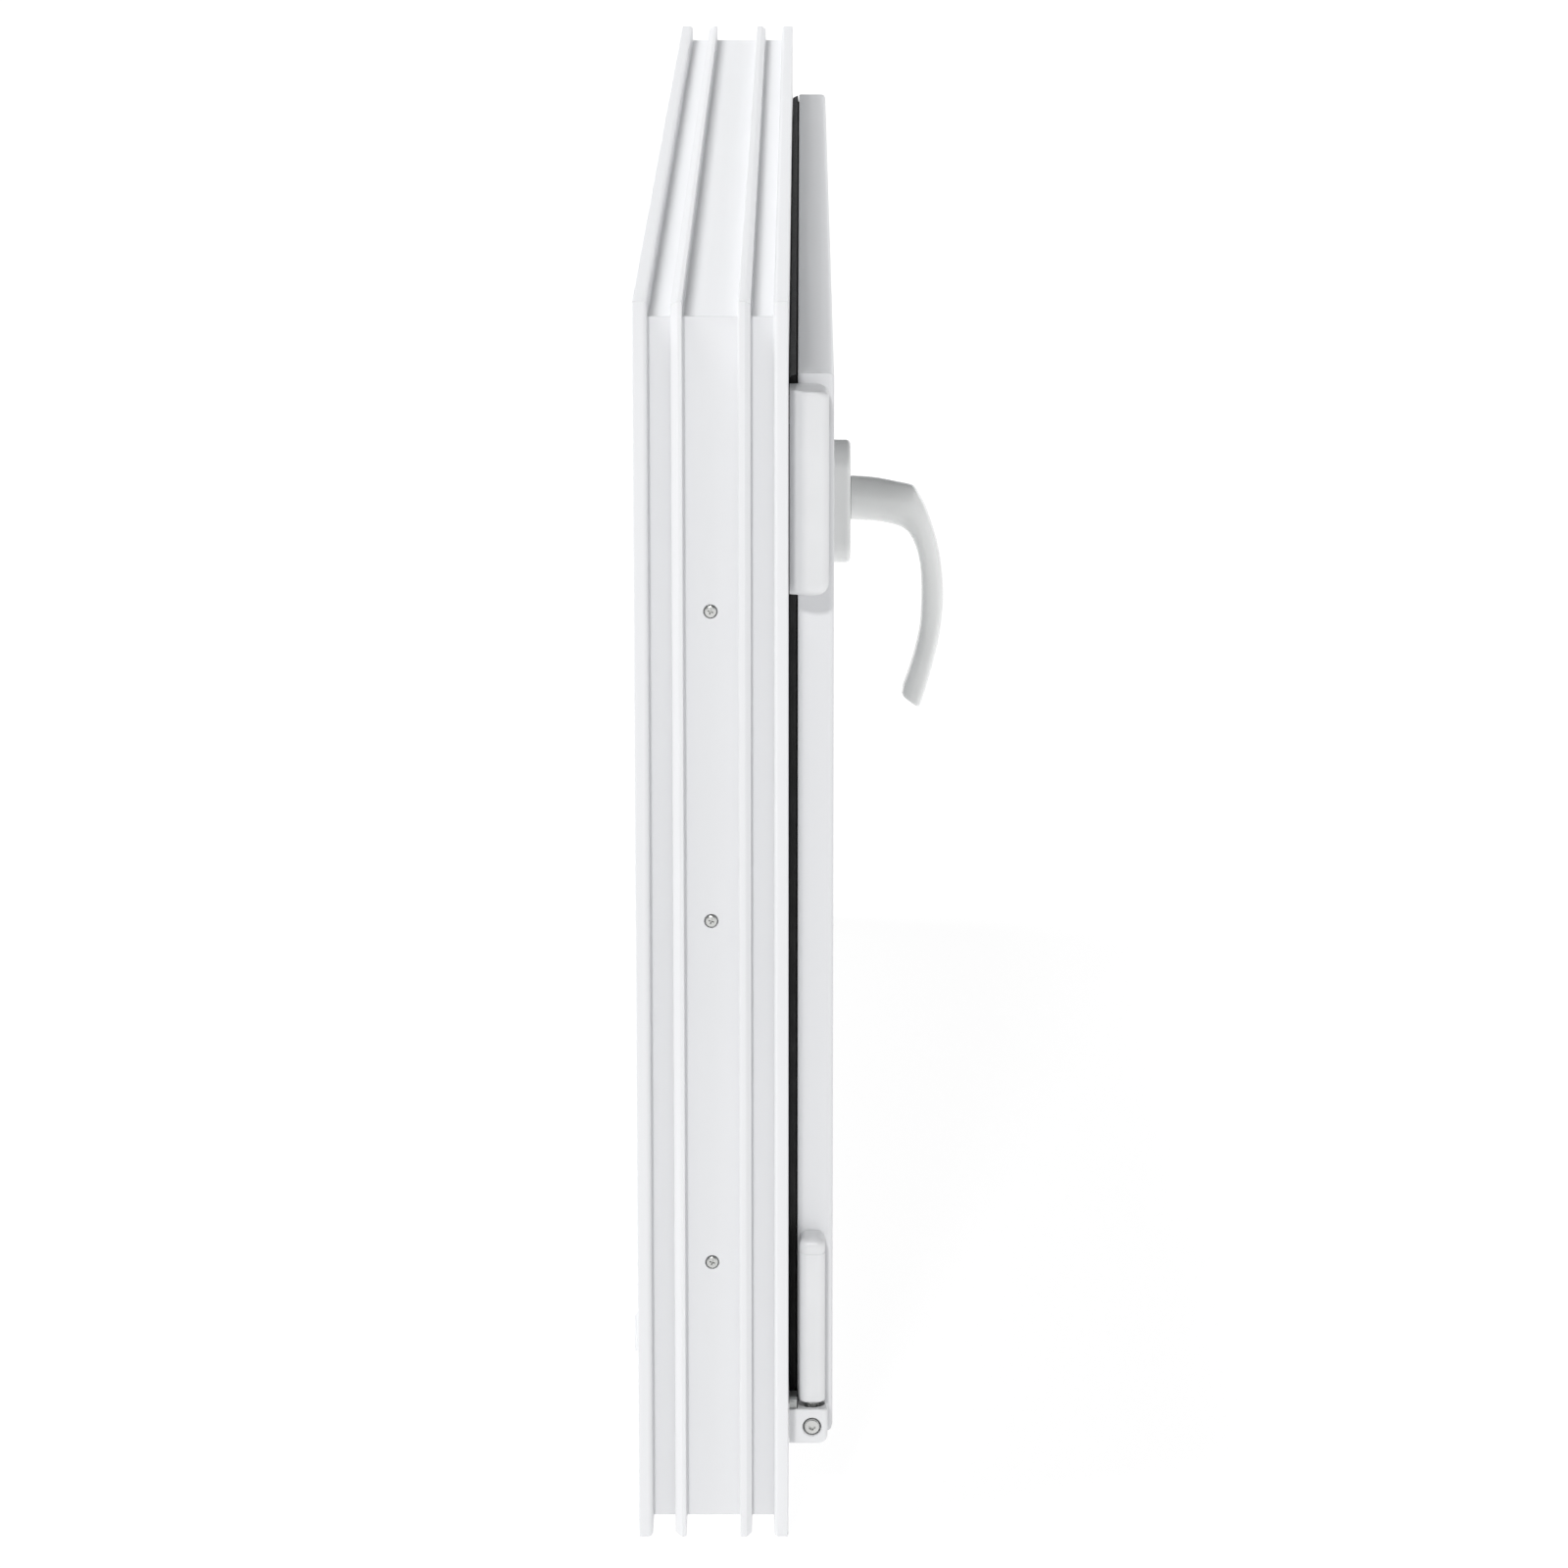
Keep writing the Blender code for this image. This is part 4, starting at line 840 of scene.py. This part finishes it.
SECTIONS = [
    ((10.4, 7.0), (10.4, -7.0), 7.0, 2.0),
    ((13.86, 7.0), (13.86, -7.0), 7.0, 2.0),
    ((13.88, 13.3), (13.88, -9.6), 11.5, 2.1),
    ((14.1, 13.8), (14.1, -10.0), 11.9, 2.1),
    ((15.0, 13.9), (15.0, -10.1), 12.0, 2.1),
    ((20.0, 13.6), (20.4, -10.2), 11.85, 2.15),
    ((25.0, 13.2), (26.0, -10.5), 11.7, 2.2),
    ((30.6, 12.4), (31.0, -11.1), 11.55, 2.25),
    ((36.1, 11.3), (35.6, -12.0), 11.4, 2.3),
    ((41.0, 10.3), (38.9, -12.9), 11.3, 2.35),
    ((44.8, 9.5), (41.6, -13.9), 11.2, 2.4),
    ((47.6, 8.6), (43.9, -15.5), 11.1, 2.5),
    ((49.4, 6.8), (45.4, -16.9), 11.05, 2.55),
    ((51.3, 3.5), (46.5, -18.4), 11.0, 2.6),
    ((53.6, -0.9), (47.6, -20.4), 10.9, 2.7),
    ((55.6, -5.4), (48.5, -22.4), 10.85, 2.75),
    ((57.3, -10.2), (49.3, -24.4), 10.8, 2.8),
    ((60.6, -21.0), (50.8, -29.6), 10.6, 2.9),
    ((63.1, -33.0), (52.0, -37.6), 10.4, 3.0),
    ((64.38, -46.0), (52.5, -47.2), 10.2, 3.0),
    ((64.44, -55.6), (52.4, -57.3), 10.1, 3.0),
    ((63.6, -66.4), (51.8, -68.3), 10.1, 3.0),
    ((61.8, -77.4), (49.7, -79.3), 10.1, 3.0),
    ((58.7, -90.6), (46.4, -91.4), 10.0, 3.0),
    ((55.0, -104.0), (42.9, -101.6), 9.9, 3.0),
    ((52.75, -110.9), (42.25, -104.9), 9.85, 3.0),
]
END = [((52.3, -112.4), (42.15, -106.1), 9.75, 3.0), ((51.85, -112.95), (42.45, -106.75), 9.45, 3.0), ((51.3, -113.05), (43.0, -107.2), 8.9, 3.0)]


def blend4(a, b, c, d, t):
    """Catmull-Rom between b and c."""
    return 0.5 * (2 * b + (c - a) * t + (2 * a - 5 * b + 4 * c - d) * t * t + (3 * b - a - 3 * c + d) * t * t * t)


def refine(sections, first, per):
    flat = [(*s[0], *s[1], s[2], s[3]) for s in sections]
    out = flat[:first]
    for i in range(first, len(flat) - 1):
        a, b, c, d = flat[max(first, i - 1)], flat[i], flat[i + 1], flat[min(len(flat) - 1, i + 2)]
        for k in range(per):
            t = k / per
            out.append(tuple(blend4(a[j], b[j], c[j], d[j], t) for j in range(6)))
    out.append(flat[-1])
    return [((s[0], s[1]), (s[2], s[3]), s[4], s[5]) for s in out]


def grip_loops(sections, n=64):
    loops = []
    for (uo, vo), (ui, vi), w, power in sections:
        cu, cv = (uo + ui) / 2, (vo + vi) / 2
        au, av = (uo - ui) / 2, (vo - vi) / 2
        loop = []
        for k in range(n):
            a = 2 * math.pi * (k + 0.5) / n
            c, s = math.cos(a), math.sin(a)
            c = math.copysign(abs(c) ** (2 / power), c)
            s = math.copysign(abs(s) ** (2 / power), s)
            loop.append((SPINDLE_X + w * s, FACE_Y - (cu + au * c), SPINDLE_Z + cv + av * c))
        loops.append(loop)
    return loops


bm = stack_bmesh(grip_loops(refine(SECTIONS, 4, 3) + END))
bm = carve(bm, [box_bmesh((SPINDLE_X - 3.8, SPINDLE_X + 3.8), (FACE_Y - 30.0, FACE_Y - 9.0), (SPINDLE_Z - 3.8, SPINDLE_Z + 3.8))])
publish("handle_lever", bm, LACQUER, "handle", ("handle_grip",), sharp=42, weighted=False)

# ================================================================ stage
cam_data = bpy.data.cameras.new("camera")
cam = bpy.data.objects.new("camera", cam_data)
bpy.context.scene.collection.objects.link(cam)
bpy.context.scene.camera = cam
cam_data.lens = 137.96
cam_data.sensor_width = 36.0
cam_data.clip_start, cam_data.clip_end = 0.05, 60.0
cam.location = (-2.78, -0.0051, 0.8441)
PITCH, YAW = math.radians(13.177), math.radians(0.171)
look = Vector((math.cos(PITCH) * math.cos(YAW), math.cos(PITCH) * math.sin(YAW), -math.sin(PITCH)))
cam.rotation_mode = "QUATERNION"
cam.rotation_quaternion = look.to_track_quat("-Z", "Y")


def stage_material(name, tone, glow):
    """Plain pale surface lit a little from within, as a light table is."""
    m, nt, p = new_material(name)
    fine = noise(nt, coords(nt, (1, 1, 1)), 40.0, 2.0, 0.5)
    a = tuple(v * 0.99 for v in tone)
    nt.links.new(ramp(nt, fine, [(0.3, a), (0.7, tone)]), p.inputs["Base Color"])
    p.inputs["Roughness"].default_value = 0.9
    p.inputs["Specular IOR Level"].default_value = 0.1
    p.inputs["Emission Color"].default_value = (1, 1, 1, 1)
    p.inputs["Emission Strength"].default_value = glow
    return m


def quad(name, corners, material):
    me = bpy.data.meshes.new(name)
    me.from_pydata(corners, [], [tuple(range(len(corners)))])
    ob = bpy.data.objects.new(name, me)
    me.materials.append(material)
    bpy.context.scene.collection.objects.link(ob)
    return ob


FLOOR = stage_material("floor", (0.11, 0.11, 0.11), 0.94)
quad("floor", [(-14, -14, -0.0006), (14, -14, -0.0006), (14, 14, -0.0006), (-14, 14, -0.0006)], FLOOR)


def sun(name, towards, strength, angle, colour=(1, 1, 1)):
    """Distant soft light; towards is the direction to it."""
    d = bpy.data.lights.new(name, "SUN")
    d.energy = strength
    d.angle = math.radians(angle)
    d.color = colour
    o = bpy.data.objects.new(name, d)
    bpy.context.scene.collection.objects.link(o)
    o.rotation_mode = "QUATERNION"
    o.rotation_quaternion = (-Vector(towards)).to_track_quat("-Z", "Y")
    return o


sun("key", (-0.90, 0.14, 0.56), 1.16, 5, (1.0, 0.998, 0.99))
sun("overhead", (-0.06, 0.51, 0.88), 2.70, 26, (1.0, 1.0, 1.0))
sun("room_fill", (0.10, -0.95, 0.30), 0.16, 60, (1.0, 1.0, 1.0))
world = bpy.data.worlds.new("studio")
bpy.context.scene.world = world
world.use_nodes = True
wt = world.node_tree
sky = wt.nodes["Background"]
height = wt.nodes.new("ShaderNodeSeparateXYZ")
wt.links.new(wt.nodes.new("ShaderNodeTexCoord").outputs["Generated"], height.inputs["Vector"])
band = wt.nodes.new("ShaderNodeMapRange")
band.interpolation_type = "SMOOTHSTEP"
band.inputs["From Min"].default_value = 0.05
band.inputs["From Max"].default_value = 0.42
band.inputs["To Min"].default_value = 0.74
band.inputs["To Max"].default_value = 0.12
wt.links.new(height.outputs["Z"], band.inputs["Value"])
side = wt.nodes.new("ShaderNodeMapRange")
side.interpolation_type = "SMOOTHSTEP"
side.inputs["From Min"].default_value = 0.55
side.inputs["From Max"].default_value = 0.95
side.inputs["To Min"].default_value = 1.0
side.inputs["To Max"].default_value = 1.5
wt.links.new(height.outputs["X"], side.inputs["Value"])
both = wt.nodes.new("ShaderNodeMath")
both.operation = "MULTIPLY"
wt.links.new(band.outputs["Result"], both.inputs[0])
wt.links.new(side.outputs["Result"], both.inputs[1])
room = wt.nodes.new("ShaderNodeMapRange")
room.interpolation_type = "SMOOTHSTEP"
room.inputs["From Min"].default_value = -0.7
room.inputs["From Max"].default_value = 0.4
room.inputs["To Min"].default_value = 1.45
room.inputs["To Max"].default_value = 0.90
wt.links.new(height.outputs["Y"], room.inputs["Value"])
level = wt.nodes.new("ShaderNodeMath")
level.operation = "MULTIPLY"
wt.links.new(both.outputs[0], level.inputs[0])
wt.links.new(room.outputs["Result"], level.inputs[1])
wt.links.new(level.outputs[0], sky.inputs["Strength"])
sky.inputs["Color"].default_value = (0.97, 0.985, 1.0, 1)
bpy.context.scene.view_settings.view_transform = "Standard"
